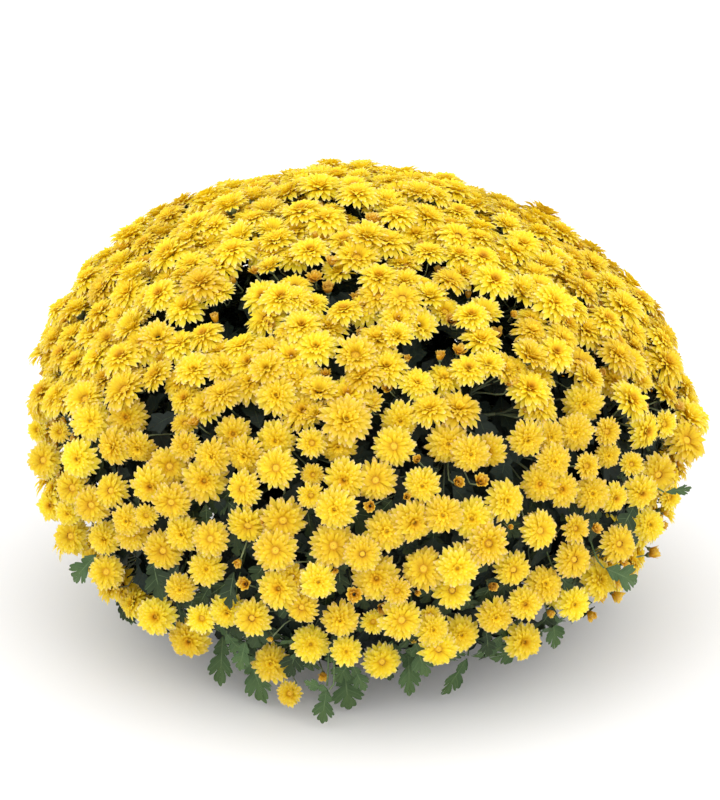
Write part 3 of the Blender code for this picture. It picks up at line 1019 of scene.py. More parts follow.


# colours as (place, colour) from a petal's or leaf's base to its tip, and for discs from the middle out. The
# petals' deeper orange at the base is partly their own colour and partly painted shade
petalColours = {
    "outer": [
        (0.0, (0.85, 0.60, 0.014)), (0.25, (0.95, 0.76, 0.020)), (0.60, (0.97, 0.81, 0.032)),
        (0.84, (0.97, 0.825, 0.075)), (0.95, (0.97, 0.83, 0.30)), (1.0, (0.97, 0.87, 0.58)),
    ],
    "inner": [
        (0.0, (0.81, 0.52, 0.010)), (0.40, (0.95, 0.74, 0.018)),
        (0.80, (0.97, 0.81, 0.032)), (1.0, (0.97, 0.84, 0.17)),
    ],
    "speck": [(0.0, (0.58, 0.26, 0.010)), (0.5, (0.82, 0.50, 0.012)), (1.0, (0.94, 0.70, 0.030))],
    "paleSpeck": [(0.0, (0.78, 0.48, 0.012)), (0.5, (0.93, 0.69, 0.018)), (1.0, (0.97, 0.79, 0.06))],
    "bud": [
        (0.0, (0.50, 0.19, 0.012)), (0.35, (0.80, 0.46, 0.018)),
        (0.75, (0.92, 0.64, 0.040)), (1.0, (0.97, 0.82, 0.26)),
    ],
    "dullBud": [(0.0, (0.28, 0.09, 0.010)), (0.4, (0.62, 0.31, 0.020)), (1.0, (0.84, 0.60, 0.11))],
}
heartColours = {
    "disc": [
        (0.0, (0.86, 0.55, 0.016)), (0.45, (0.84, 0.53, 0.014)),
        (0.75, (0.70, 0.38, 0.012)), (1.0, (0.50, 0.22, 0.010)),
    ],
    "closed": [(0.0, (0.80, 0.52, 0.014)), (1.0, (0.74, 0.42, 0.012))],
    "floret": [(0.0, (0.44, 0.16, 0.010)), (0.6, (0.38, 0.13, 0.010)), (1.0, (0.16, 0.04, 0.006))],
}
leafColours = {
    "outer": [(0.0, (0.048, 0.086, 0.032)), (0.5, (0.043, 0.080, 0.028)), (1.0, (0.062, 0.104, 0.036))],
    # painted shade: the inner leaves are given a darker, bluer green than the outer ones
    "inner": [(0.0, (0.040, 0.070, 0.050)), (1.0, (0.030, 0.062, 0.046))],
}
veinColour = (0.16, 0.23, 0.10, 1)
# painted shade: stalks are darkest at their foot, deep in the mound, and pale near the heads
stalkColours = [(0.0, (0.030, 0.045, 0.022)), (0.55, (0.07, 0.095, 0.045)), (1.0, (0.27, 0.33, 0.16))]


def newMaterial(name, look):
    material = bpy.data.materials.new(name)
    material.use_nodes = True
    tree = material.node_tree
    shader = tree.nodes["Principled BSDF"]
    if "dullness" in look:
        shader.inputs["Roughness"].default_value = look["dullness"]
    if "shine" in look:
        shader.inputs["Specular IOR Level"].default_value = look["shine"]
    return material, tree, shader


def addNode(tree, kind, settings=None, inputs=None):
    node = tree.nodes.new(kind)
    for key, value in (settings or {}).items():
        setattr(node, key, value)
    for key, value in (inputs or {}).items():
        if isinstance(value, bpy.types.NodeSocket):
            tree.links.new(value, node.inputs[key])
        else:
            node.inputs[key].default_value = value
    return node


def mathNode(tree, operation, first, second=0.0, third=0.0):
    inputs = {0: first, 1: second, 2: third}
    return addNode(tree, "ShaderNodeMath", {"operation": operation}, inputs).outputs[0]


def mixColour(tree, blend, share, first, second):
    settings = {"data_type": "RGBA", "blend_type": blend, "clamp_factor": True}
    node = addNode(tree, "ShaderNodeMix", settings, {0: share, 6: first, 7: second})
    return node.outputs[2]


def ramp(tree, value, stops):
    node = addNode(tree, "ShaderNodeValToRGB", None, {0: value})
    elements = node.color_ramp.elements
    while len(elements) < len(stops):
        elements.new(0.5)
    for element, (place, colour) in zip(elements, stops):
        element.position = place
        element.color = (*colour, 1) if len(colour) == 3 else colour
    return node.outputs["Color"]


def ramps(tree, value, colours):
    return [ramp(tree, value, stops) for stops in colours.values()]


def noiseOf(tree, vector, scale, detail=2.0):
    inputs = {"Vector": vector, "Scale": scale, "Detail": detail}
    return addNode(tree, "ShaderNodeTexNoise", None, inputs).outputs[0]


def stretched(tree, vector, scale):
    return addNode(tree, "ShaderNodeMapping", None, {"Vector": vector, "Scale": scale}).outputs[0]


def remap(tree, value, low, high):
    inputs = {"Value": value, "To Min": low, "To Max": high}
    return addNode(tree, "ShaderNodeMapRange", None, inputs).outputs[0]


def multiplied(tree, colour, other):
    return mixColour(tree, "MULTIPLY", 1.0, colour, other)


def over(tree, number, band, colour, other):
    # the other colour on strips past a band
    return mixColour(tree, "MIX", mathNode(tree, "GREATER_THAN", number, band - 0.5), colour, other)


def paint(tree, shader, colour):
    tree.links.new(colour, shader.inputs["Base Color"])


def addRelief(tree, shader, height, strength, distance):
    inputs = {"Strength": strength, "Distance": distance, "Height": height}
    bump = addNode(tree, "ShaderNodeBump", None, inputs)
    tree.links.new(bump.outputs[0], shader.inputs["Normal"])


def paintStreaked(tree, shader, uv, colour, look):
    # fine streaks along each petal, in its colour and its relief
    streak = noiseOf(tree, stretched(tree, uv, look["streaks"]), 1.0)
    colour = multiplied(tree, colour, remap(tree, streak, *look["streakShades"]))
    paint(tree, shader, colour)
    addRelief(tree, shader, streak, *look["relief"])
    return colour


def stripMap(tree, bandCount):
    # along a petal or leaf, across it, and a number of its strip
    uv = addNode(tree, "ShaderNodeUVMap", {"uv_map": "OFBake"}).outputs[0]
    split = addNode(tree, "ShaderNodeSeparateXYZ", None, {0: uv})
    strip = mathNode(tree, "MULTIPLY", split.outputs[1], bandCount)
    number = mathNode(tree, "FLOOR", strip)
    across = mathNode(tree, "FRACT", strip)
    return split.outputs[0], across, number, uv


def toneOf(tree, number, low, high):
    random = addNode(tree, "ShaderNodeTexWhiteNoise", {"noise_dimensions": "1D"}, {"W": number})
    return remap(tree, random.outputs["Value"], low, high)


def petalMaterial():
    material, tree, shader = newMaterial("petalYellow", petal)
    along, _, number, uv = stripMap(tree, petal["bands"])
    outer, inner, speck, paleSpeck, bud, dullBud = ramps(tree, along, petalColours)
    speckBand = petal["rings"][-1]["band"]
    budBand = petal["budRings"][0]["band"]
    colour = over(tree, number, petal["rings"][2]["band"], outer, inner)
    colour = over(tree, number, speckBand, colour, over(tree, number, speckBand + 1, speck, paleSpeck))
    colour = over(tree, number, budBand, colour, over(tree, number, petal["bands"] - 1, bud, dullBud))
    # painted shade and random tone: each strip's tone darkens its petals towards the dull colour
    shadeAndTone = mathNode(tree, "MODULO", number, petal["tones"])
    shadeAndTone = mathNode(tree, "DIVIDE", shadeAndTone, petal["tones"] - 1)
    colour = multiplied(tree, colour, mixColour(tree, "MIX", shadeAndTone, (*petal["dull"], 1), (1, 1, 1, 1)))
    colour = paintStreaked(tree, shader, uv, colour, petal)
    glow = addNode(tree, "ShaderNodeBsdfTranslucent", None, {"Color": colour})
    inputs = {0: petal["glow"], 1: shader.outputs[0], 2: glow.outputs[0]}
    mix = addNode(tree, "ShaderNodeMixShader", None, inputs)
    tree.links.new(mix.outputs[0], tree.nodes["Material Output"].inputs["Surface"])
    return material


def heartMaterial():
    material, tree, shader = newMaterial("heartGold", heart)
    along, _, number, uv = stripMap(tree, petal["bands"])
    disc, closed, floret = ramps(tree, along, heartColours)
    colour = over(tree, number, heart["band"] + 1, disc, closed)
    colour = over(tree, number, heart["band"] + 2, colour, floret)
    paintStreaked(tree, shader, uv, colour, heart)
    return material


petalYellow = petalMaterial()
heartGold = heartMaterial()


def makeBlooms(number):
    build = newBuild()
    random = np.random.default_rng(petal["seed"] + number)
    for group, rings in ((layout, petal["rings"]), (budLayout, petal["budRings"])):
        chosen = part(group, group["spray"] == number)
        axes = headAxes(chosen["facing"], random)
        addPetals(build, chosen, axes, random, rings)
        if group is layout:
            addHearts(build, chosen, axes, random)
    piece = finishPiece(f"blooms_{number + 1:02d}", build, [petalYellow, heartGold])
    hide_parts(sprayNames[number])


for number in range(len(sprayNames)):
    makeBlooms(number)
print("blooms made")

# stalks, their cups under the heads, and the shoots that carry them
stalk = {
    "seed": 4200,
    "bands": 6,
    "radius": 0.0009,
    "shootRadius": 0.0017,
    "cupRadius": 0.27,  # shares of the head's radius
    "cupDepth": 0.34,
    "cupRings": ((0.30, -1.0), (0.90, -0.40), (0.95, 0.40)),  # radius and height, as shares of these
    "cupSides": 6,
    "footDepth": 0.9,  # of the cup's depth, where its stalk ends
    "branching": 0.42,  # how far from the stem's tip to the heads a shoot branches
    "rootRadius": 0.0024,  # of a shoot where it leaves the stem
    "reachDepth": 0.018,  # below the mound's surface, what a shoot heads for
    "start": 0.010,  # metres that a shoot goes straight on from the stem
    "overlap": 0.3,  # share of that by which it starts inside the stem
    "shootArrival": 0.15,  # how straight shoots and stalks leave and arrive, as shares of their length
    "leaving": 0.35,
    "arriving": 0.45,
    "thickening": 1.15,  # of a stalk's foot
    "rings": (5, 6),  # along shoots and stalks
    "sides": (6, 3),
    "shootShade": 0.6,  # how far along the stalk's colours a shoot goes, so that shoots, deep in the mound, keep the darker part, which is painted shade
    "dullness": 0.6,
    "tones": (0.7, 1.1),
    "mottling": 40.0,
}


def stalkMaterial():
    material, tree, shader = newMaterial("stalkGreen", stalk)
    along, _, number, uv = stripMap(tree, stalk["bands"])
    colour = ramp(tree, along, stalkColours)
    tone = toneOf(tree, number, *stalk["tones"])
    noise = noiseOf(tree, uv, stalk["mottling"])
    shade = mathNode(tree, "MULTIPLY", tone, mathNode(tree, "ADD", noise, 0.5))
    paint(tree, shader, multiplied(tree, colour, shade))
    return material


stalkGreen = stalkMaterial()


def addCups(build, group, axes, random):
    shares, heights = np.transpose(stalk["cupRings"])
    turn = turnsOf(stalk["cupSides"])
    x = shares[:, None] * stalk["cupRadius"] * np.cos(turn)
    y = shares[:, None] * stalk["cupRadius"] * np.sin(turn)
    z = heights[:, None] * stalk["cupDepth"] + 0 * x
    grids = onHeads(np.stack([x, y, z], axis=-1), group, axes, np.arange(len(axes)))
    addGrids(build, grids, random.integers(0, stalk["bands"], len(axes)), stalk["bands"], closed=True)


def makeStalks(number, tips):
    build = newBuild()
    random = np.random.default_rng(stalk["seed"] + number)
    tip = tips[number]
    shoots = np.flatnonzero(layout["shootSprays"] == number)
    ends = surfaceAt(layout["shootDirections"][shoots], stalk["reachDepth"])
    forks = tip + (ends - tip) * stalk["branching"]
    outward = np.repeat(unit(tip - upward * mound["level"])[None] * stalk["start"], len(shoots), axis=0)
    bands = random.integers(0, stalk["bands"], len(shoots))
    tubes = tubeGrids(
        tip - outward * stalk["overlap"], forks, outward, (ends - tip) * stalk["shootArrival"],
        stalk["rootRadius"], stalk["shootRadius"], stalk["rings"][0], stalk["sides"][0],
    )
    shares = np.linspace(0, stalk["shootShade"], stalk["rings"][0])
    addGrids(build, tubes, bands, stalk["bands"], closed=True, shares=shares)
    forkOf = {shoot: index for index, shoot in enumerate(shoots)}
    for group in (layout, budLayout):
        chosen = part(group, group["spray"] == number)
        if len(chosen["radius"]) == 0:
            continue
        axes = headAxes(chosen["facing"], random)
        addCups(build, chosen, axes, random)
        own = np.array([forkOf[shoot] for shoot in chosen["shoot"]])
        depth = chosen["radius"] * stalk["cupDepth"] * stalk["footDepth"]
        feet = chosen["places"] - chosen["facing"] * depth[:, None]
        reach = np.linalg.norm(feet - forks[own], axis=1)[:, None]
        leaving = unit(ends - tip)[own] * reach * stalk["leaving"]
        arriving = chosen["facing"] * reach * stalk["arriving"]
        tubes = tubeGrids(
            forks[own], feet, leaving, arriving, stalk["radius"] * stalk["thickening"], stalk["radius"],
            stalk["rings"][1], stalk["sides"][1],
        )
        addGrids(build, tubes, random.integers(0, stalk["bands"], len(own)), stalk["bands"], closed=True)
    finishPiece(f"stalks_{number + 1:02d}", build, [stalkGreen])


tips = stemTips()
for number in range(len(sprayNames)):
    makeStalks(number, tips)
print("stalks made")

# leaves: a lobed blade whose edges sweep forward, in shares of its length
leaf = {
    "bands": 8,
    "innerBands": 4,  # strips of the leaves inside the mound, which are painted darkest as shade
    "skirtBands": 2,  # and after them, those between the lower heads, painted less dark; the last strips belong to the leaves at the edge, painted brightest
    "marks": (0, 0.2, 0.4, 0.6, 0.8, 1),  # places along the edge, from the stalk round to the tip
    "midrib": (0.04, 0.20, 0.34, 0.48, 0.58, 0.62),  # where the rib to each mark leaves the midrib
    "angle": (50, 66, 64, 54, 40, 0),  # the rib's angle to the midrib
    "notches": (0.004, 0.08, 0.09, 0.11, 0.12, 0.12),  # how far the edge is from the midrib between lobes
    "lobes": (0.22, 0.38, 0.38),  # and at each lobe's end
    "lobeMarks": 2,  # each lobe reaches over two marks
    "lobeRound": 2.2,
    "teeth": 7,
    "toothDepth": 0.20,
    "toothRound": 0.8,
    "wave": (0.03, 17),  # height of the ripples, and how close they are
    "leastBend": 1e-4,
    "veinWidth": 0.022,
    "sideVeins": (2.5, -0.5, 0.6),  # how many there are, where the first is, and how strongly they show
    "veinShares": (0.10, 0.33),  # of the veins' own colour on the inner leaves, which are painted as in shade, and more on outer ones
    "tones": (0.25, 0.25, 0.50),  # painted shade: brightness of the inner leaves, more on outer ones, and more at the edge
    "toneSpread": (0.75, 1.25),
    "mottling": (30.0, 3.0),  # scale and detail
    "dullness": 0.6,
    "shine": 0.2,
    "relief": (0.5, 0.0005),
    "fill": 0.96,  # share of its colour strip that a blade takes up
    "margin": 3,  # degrees that leaves reach below the skirt
    "leastHeight": 0.048,  # metres above the floor where a leaf at the edge may start
}

# leaves inside the mound, which close it to the eye: depths are metres below its outer surface
innerLeaves = {
    "seed": 5,
    "count": 1900,
    "core": 500,  # larger leaves further in
    "under": 420,  # leaves that close the skirt from below
    "underHeight": (-0.60, -0.25),
    "spread": 0.03,
    "length": (0.032, 0.048),
    "coreSize": 1.6,
    "depth": (0.030, 0.080),
    "coreDepth": (0.085, 0.130),
    "clear": 0.027,  # least depth of any point
    "rows": (0, 0.2, 0.38, 0.42, 0.60, 0.78, 0.82, 0.92, 1),
    "columns": 3,
    "upward": 0.3,  # how much they face up, and differ in it
    "facingSpread": 0.35,
    "turnSpread": 1.0,
    "hanging": 0.6,
    "start": 0.4,  # share of a blade that lies behind its place
    "droop": (0.1, 0.9),  # radians that a blade bends along its length
    "fold": (0.0, 0.5),
}

# leaves that show between and below the lower heads
skirtLeaves = {
    "seed": 7,
    "count": 420,
    "tries": 6000,
    "lowering": 0.06,
    "highest": 0.12,  # heights are those of directions from the mound's middle
    "low": -0.42,
    "apart": (0.017, 0.010),  # metres between leaves, and between those of the low part
    "fromHeads": 0.017,
    "length": (0.030, 0.046),
    "depth": (0.014, 0.030),
    "rows": 26,
    "columns": 3,
    "upward": 0.35,
    "facingSpread": 0.18,
    "turnSpread": 0.5,
    "hanging": 1.0,
    "start": 0.5,
    "droop": (0.2, 0.9),
    "fold": (0.05, 0.4),
}

# how a leaf keeps clear of the heads
headRoom = {
    "reach": 0.055,  # metres round a head in which leaves are looked at
    "below": 0.3,  # shares of the head's radius
    "moved": 0.35,
    "extra": 1.2,
}

# a single leaf with its stalk
singleLeaf = {
    "rows": 61,
    "columns": 5,
    "stalkRadii": (0.0011, 0.0008),
    "stalkRows": 5,
    "stalkSides": 5,
    "stalkFill": 0.05,
    "arriving": 0.010,  # metres that the stalk runs on straight to the blade
}

# those of the lower edge, and those that stand for CAD leaves
edgeLook = {
    "seed": 8,
    "outward": 0.8,  # they face the camera, and outward by this share
    "length": 1.04,  # of a bent blade, as a share of the way from base to tip
    "facingSpread": 0.12,
    "droop": (0.2, 0.6),
    "fold": (0.1, 0.35),
    "shaded": 0.028,  # depth from which they are painted darker as shade, like the inner leaves
    "stalkRise": 0.12,
    "stalkDepth": 0.035,
    "leaving": 0.3,
}

hangingLook = {
    "seed": 6,
    "length": (0.050, 0.056),
    "lean": 0.2,
    "turnSpread": 0.12,
    "facingSpread": 0.25,
    "shownSpread": 0.15,  # the same where the photograph shows the leaf
    "above": 0.006,  # metres that the blade starts above its CAD leaf, and before it
    "before": 0.003,
    "broad": (0.75, 1.05),
    "droop": (0.1, 0.5),
    "fold": (0.1, 0.4),
    "stalkStart": 0.030,  # metres inward and upward
    "leaving": 0.012,
}

# leaves along the lower edge, by the pixels of their stalk's end and tip, depth in the mound and breadth
edgeLeaves = {
    "farLeft": ((98, 553), (67, 584), 0.016, 0.75),
    "left": ((152, 556), (160, 601), 0.030, 0.95),
    "leftTip": ((176, 600), (183, 624), 0.030, 0.70),
    "leftDark": ((212, 582), (194, 612), 0.034, 0.80),
    "lowUnder": ((329, 690), (304, 683), 0.012, 0.80),
    "lowSmall": ((327, 686), (321, 726), 0.006, 0.85),
    "shadeLeft": ((236, 596), (238, 640), 0.036, 1.15),
    "shadeMiddle": ((266, 612), (251, 652), 0.034, 1.0),
    "shadeRight": ((300, 640), (288, 678), 0.030, 1.0),
    "shadeCentre": ((384, 650), (390, 682), 0.030, 1.0),
    "shadeSide": ((116, 590), (130, 626), 0.036, 0.9),
    "lowBehind": ((352, 664), (366, 692), 0.018, 0.85),
    "lowInner": ((246, 640), (238, 672), 0.020, 0.90),
    "lowMiddle": ((414, 640), (427, 678), 0.022, 0.90),
    "lowRight": ((486, 630), (490, 657), 0.030, 1.00),
    "rightGap": ((556, 572), (574, 590), 0.030, 0.90),
    "farRight": ((604, 568), (643, 583), 0.012, 0.95),
    "highRight": ((664, 492), (694, 489), 0.010, 0.50),
}

# base and tip pixels, and breadth, of the hanging leaves that show at the front
hangingLooks = {
    "skirt_leaf_01": ((131, 588), (126, 628), 0.85),
    "skirt_leaf_02": ((223, 634), (219, 688), 0.75),
    "skirt_leaf_03": ((248, 652), (265, 705), 0.85),
    "skirt_leaf_04": ((344, 668), (350, 714), 1.15),
    "skirt_leaf_05": ((408, 646), (411, 701), 0.66),
    "skirt_leaf_06": ((468, 656), (444, 699), 0.60),
    "skirt_leaf_07": ((551, 610), (560, 652), 0.85),
    "skirt_leaf_08": ((604, 552), (610, 592), 0.60),
}


def leafOutline(u):
    # ribs fan out from the midrib to the edge: places, angles and lengths, from the stalk round to the tip
    place = np.interp(u, leaf["marks"], leaf["midrib"])
    angle = np.radians(np.interp(u, leaf["marks"], leaf["angle"]))
    notch = np.interp(u, leaf["marks"], leaf["notches"])
    span = leaf["marks"][leaf["lobeMarks"]]
    lobe = np.minimum((u / span).astype(int), len(leaf["lobes"]) - 1)
    swell = np.abs(u / span - lobe - 0.5) * 2
    body = np.clip(1 - swell ** leaf["lobeRound"], 0, 1) ** (1 / leaf["lobeRound"])
    teeth = np.abs(np.cos(math.pi * leaf["teeth"] * (1 - u))) ** leaf["toothRound"]
    reach = notch + (np.array(leaf["lobes"])[lobe] - notch) * body
    reach = reach * (1 - leaf["toothDepth"] * (1 - teeth) * body)
    return place, angle, reach


def leafGrids(places, forward, normals, lengths, droop, fold, u, columns, broad=1.0):
    # blades grow from their places along forward, bend away from the normal, and fold up along the midrib
    middle, angle, reach = leafOutline(u)
    s = np.linspace(-1, 1, columns)[None, :]
    aside = reach[:, None] * np.sin(angle)[:, None] * s
    ahead = middle[:, None] + reach[:, None] * np.cos(angle)[:, None] * np.abs(s)
    bend = droop[:, None, None] * ahead
    least = leaf["leastBend"]
    along = np.where(bend > least, np.sin(bend) / np.maximum(bend, least), 1) * ahead
    down = (1 - np.cos(bend)) / np.maximum(bend, least) * ahead
    wave = leaf["wave"][0] * np.sin(ahead * leaf["wave"][1] + s) * s**2
    high = (np.abs(aside) * fold[:, None, None] + wave) - down
    side = np.cross(forward, normals)[:, None, None]
    size = lengths[:, None, None, None]
    flat = forward[:, None, None] * along[..., None] + side * (aside * broad)[None, :, :, None]
    return places[:, None, None] + (flat + normals[:, None, None] * high[..., None]) * size


def behindHeads(blades, inward):
    # moves blades along inward until none of their points lies in a head
    for place, facing, radius in zip(layout["places"], layout["facing"], layout["radius"]):
        away = np.linalg.norm(blades.mean(axis=(1, 2)) - place, axis=1)
        near = np.flatnonzero(away < headRoom["reach"])
        if len(near) == 0:
            continue
        offset = blades[near] - place
        height = offset @ facing
        aside = np.linalg.norm(offset - height[..., None] * facing, axis=-1)
        hit = (aside < radius) & (height > -headRoom["below"] * radius) & (height < radius)
        push = np.where(hit, height + headRoom["moved"] * radius, 0).max(axis=(1, 2))
        moves = inward[near][:, None, None] * push[:, None, None, None]
        blades[near] = blades[near] + moves * headRoom["extra"]
    return blades


def leafMaterial():
    material, tree, shader = newMaterial("leafGreen", leaf)
    along, across, number, uv = stripMap(tree, leaf["bands"])
    outer, inner = ramps(tree, along, leafColours)
    offCentre = mathNode(tree, "ABSOLUTE", mathNode(tree, "SUBTRACT", across, 0.5))
    midrib = mathNode(tree, "LESS_THAN", offCentre, leaf["veinWidth"])
    closeness, first, strength = leaf["sideVeins"]
    ribs = mathNode(tree, "PINGPONG", mathNode(tree, "MULTIPLY_ADD", along, closeness, first), 0.5)
    sideRib = mathNode(tree, "LESS_THAN", ribs, leaf["veinWidth"])
    veins = mathNode(tree, "MAXIMUM", midrib, mathNode(tree, "MULTIPLY", sideRib, strength))
    noise = noiseOf(tree, uv, *leaf["mottling"])
    isOuter = mathNode(tree, "GREATER_THAN", number, leaf["innerBands"] - 0.5)
    isEdge = mathNode(tree, "GREATER_THAN", number, leaf["innerBands"] + leaf["skirtBands"] - 0.5)
    # painted shade: the strip number makes inner leaves darkest, those between the lower heads lighter, and
    # those at the edge brightest
    darkest, outward, edgeward = leaf["tones"]
    tone = mathNode(tree, "MULTIPLY_ADD", isOuter, outward, darkest)
    tone = mathNode(tree, "MULTIPLY_ADD", isEdge, edgeward, tone)
    tone = mathNode(tree, "MULTIPLY", tone, toneOf(tree, number, *leaf["toneSpread"]))
    shade = mathNode(tree, "MULTIPLY", tone, mathNode(tree, "ADD", noise, 0.5))
    colour = multiplied(tree, mixColour(tree, "MIX", isOuter, inner, outer), shade)
    least, more = leaf["veinShares"]
    veinShare = mathNode(tree, "MULTIPLY", veins, mathNode(tree, "MULTIPLY_ADD", isOuter, more, least))
    paint(tree, shader, mixColour(tree, "MIX", veinShare, colour, veinColour))
    height = mathNode(tree, "SUBTRACT", mathNode(tree, "MULTIPLY", noise, 0.5), veins)
    addRelief(tree, shader, height, *leaf["relief"])
    return material


leafGreen = leafMaterial()


def tooFarOut(blades, clear):
    # how far each blade has to move in for all of it to lie deeper than clear
    flat = blades.reshape(-1, 3) - upward * mound["level"]
    distance = np.linalg.norm(flat, axis=1)
    surface = surfaceAt(unit(flat)) - upward * mound["level"]
    depth = np.linalg.norm(surface, axis=1) - distance
    return np.clip(clear - depth.reshape(len(blades), -1).min(axis=1), 0, None)


def lowestDirection():
    return -math.sin(math.radians(mound["skirtAngle"] + leaf["margin"]))


def looseLeaves(kind, random, directions, places, rows, size=1.0):
    # blades that face out of the mound and up, and hang down
    count = len(directions)
    facing = normalAt(directions) + upward * kind["upward"]
    normals = unit(facing + random.normal(0, kind["facingSpread"], (count, 3)))
    forward = random.normal(0, kind["turnSpread"], (count, 3)) - upward * kind["hanging"]
    forward = unit(forward - normals * np.sum(forward * normals, axis=1)[:, None])
    lengths = random.uniform(*kind["length"], count) * size
    droop = random.uniform(*kind["droop"], count)
    fold = random.uniform(*kind["fold"], count)
    places = places - forward * lengths[:, None] * kind["start"]
    return places, leafGrids(places, forward, normals, lengths, droop, fold, rows, kind["columns"])


def innerDirections(random):
    height = random.uniform(*innerLeaves["underHeight"], innerLeaves["under"])
    turn = random.uniform(0, math.tau, innerLeaves["under"])
    flat = np.sqrt(1 - height**2)
    under = np.stack([flat * np.cos(turn), flat * np.sin(turn), height], axis=1)
    outer = np.concatenate([spiralDirections(innerLeaves["count"]), under])
    directions = np.concatenate([outer, spiralDirections(innerLeaves["core"])])
    directions = unit(directions + random.normal(0, innerLeaves["spread"], directions.shape))
    isCore = np.arange(len(directions)) >= len(outer)
    shown = directions[:, 2] > lowestDirection()
    return directions[shown], isCore[shown]


def makeInnerLeaves():
    random = np.random.default_rng(innerLeaves["seed"])
    directions, isCore = innerDirections(random)
    count = len(directions)
    coreDepth = random.uniform(*innerLeaves["coreDepth"], count)
    depth = np.where(isCore, coreDepth, random.uniform(*innerLeaves["depth"], count))
    places = surfaceAt(directions, depth)
    rows = np.array(innerLeaves["rows"])
    size = np.where(isCore, innerLeaves["coreSize"], 1.0)
    places, blades = looseLeaves(innerLeaves, random, directions, places, rows, size)
    inward = -normalAt(directions)
    blades = blades + inward[:, None, None] * tooFarOut(blades, innerLeaves["clear"])[:, None, None, None]
    blades = behindHeads(blades, inward)
    spray = distances(places, sprayCentres()).argmin(axis=1)
    bands = random.integers(0, leaf["innerBands"], count)
    for number in range(len(sprayNames)):
        build = newBuild()
        own = spray == number
        addGrids(build, blades[own], bands[own], leaf["bands"], shares=rows, fill=leaf["fill"])
        finishPiece(f"leaves_{number + 1:02d}", build, [leafGreen])


def makeSkirtLeaves():
    random = np.random.default_rng(skirtLeaves["seed"])
    tries = spiralDirections(skirtLeaves["tries"])
    tries[:, 2] += random.uniform(-skirtLeaves["lowering"], 0.0, len(tries))
    tries = unit(tries)[random.permutation(len(tries))]
    tries = tries[(tries[:, 2] < skirtLeaves["highest"]) & (tries[:, 2] > lowestDirection())]
    points = surfaceAt(tries, skirtLeaves["depth"][0])
    gap = distances(points, layout["places"]).min(axis=1)
    isLow = tries[:, 2] < skirtLeaves["low"]
    closest = np.where(isLow, skirtLeaves["apart"][1], skirtLeaves["apart"][0])
    kept = thinned(points, closest, np.flatnonzero((gap > skirtLeaves["fromHeads"]) | isLow))
    directions = tries[kept][: skirtLeaves["count"]]
    isLow = isLow[kept][: skirtLeaves["count"]]
    count = len(directions)
    places = surfaceAt(directions, random.uniform(*skirtLeaves["depth"], count))
    rows = np.linspace(0, 1, skirtLeaves["rows"])
    places, blades = looseLeaves(skirtLeaves, random, directions, places, rows)
    blades = behindHeads(blades, -normalAt(directions))
    build = newBuild()
    # painted shade: skirt leaves take darker strips, and the lowest take the bright strips of the edge
    bands = leaf["innerBands"] + random.integers(0, 2, count) + np.where(isLow, leaf["skirtBands"], 0)
    addGrids(build, blades, bands, leaf["bands"], fill=leaf["fill"])
    finishPiece("skirt_leaves", build, [leafGreen])
    print("skirt leaves:", count)


def makeSingleLeaf(name, random, look, base, forward, length, facing, broad, band, inside, leaving):
    # a blade from its base along forward, and its stalk, which leaves from inside the mound
    normal = unit(facing - forward * np.dot(facing, forward))
    droop = random.uniform(*look["droop"], 1)
    fold = random.uniform(*look["fold"], 1)
    rows = np.linspace(0, 1, singleLeaf["rows"])
    blade = leafGrids(
        base[None], forward[None], normal[None], np.array([length]), droop, fold, rows,
        singleLeaf["columns"], broad,
    )
    build = newBuild()
    addGrids(build, blade, [band], leaf["bands"], fill=leaf["fill"])
    petiole = tubeGrids(
        inside[None], base[None], leaving[None], forward[None] * singleLeaf["arriving"],
        *singleLeaf["stalkRadii"], rows=singleLeaf["stalkRows"], sides=singleLeaf["stalkSides"],
    )
    addGrids(build, petiole, [band], leaf["bands"], closed=True, fill=singleLeaf["stalkFill"])
    return finishPiece(name, build, [leafGreen])


def makeEdgeLeaves():
    # leaves that the photograph shows along the lower edge, apart from those that have CAD nodes
    random = np.random.default_rng(edgeLook["seed"])
    for number, (name, (basePixel, tipPixel, depth, broad)) in enumerate(edgeLeaves.items()):
        base = surfaceAt(directionAt(basePixel, depth)[None], depth)[0]
        base = seenAt(basePixel, base, leaf["leastHeight"])
        outward = unit(np.array([base[0], base[1], 0.0]))
        plane = unit(towardsCamera() + outward * edgeLook["outward"])
        tip = seenInPlane(tipPixel, base, plane)
        length = np.linalg.norm(tip - base) * edgeLook["length"]
        facing = plane + random.normal(0, edgeLook["facingSpread"], 3)
        # painted shade: deeper edge leaves take darker strips than those nearer the surface
        band = leaf["innerBands"] + (0 if depth > edgeLook["shaded"] else leaf["skirtBands"]) + number % 2
        direction = unit(unit(base - upward * mound["level"]) + upward * edgeLook["stalkRise"])
        inside = surfaceAt(direction[None], depth + edgeLook["stalkDepth"])[0]
        leaving = (base - inside) * edgeLook["leaving"]
        makeSingleLeaf(
            f"edge_leaf_{name}", random, edgeLook, base, unit(tip - base), length, facing, broad, band,
            inside, leaving,
        )


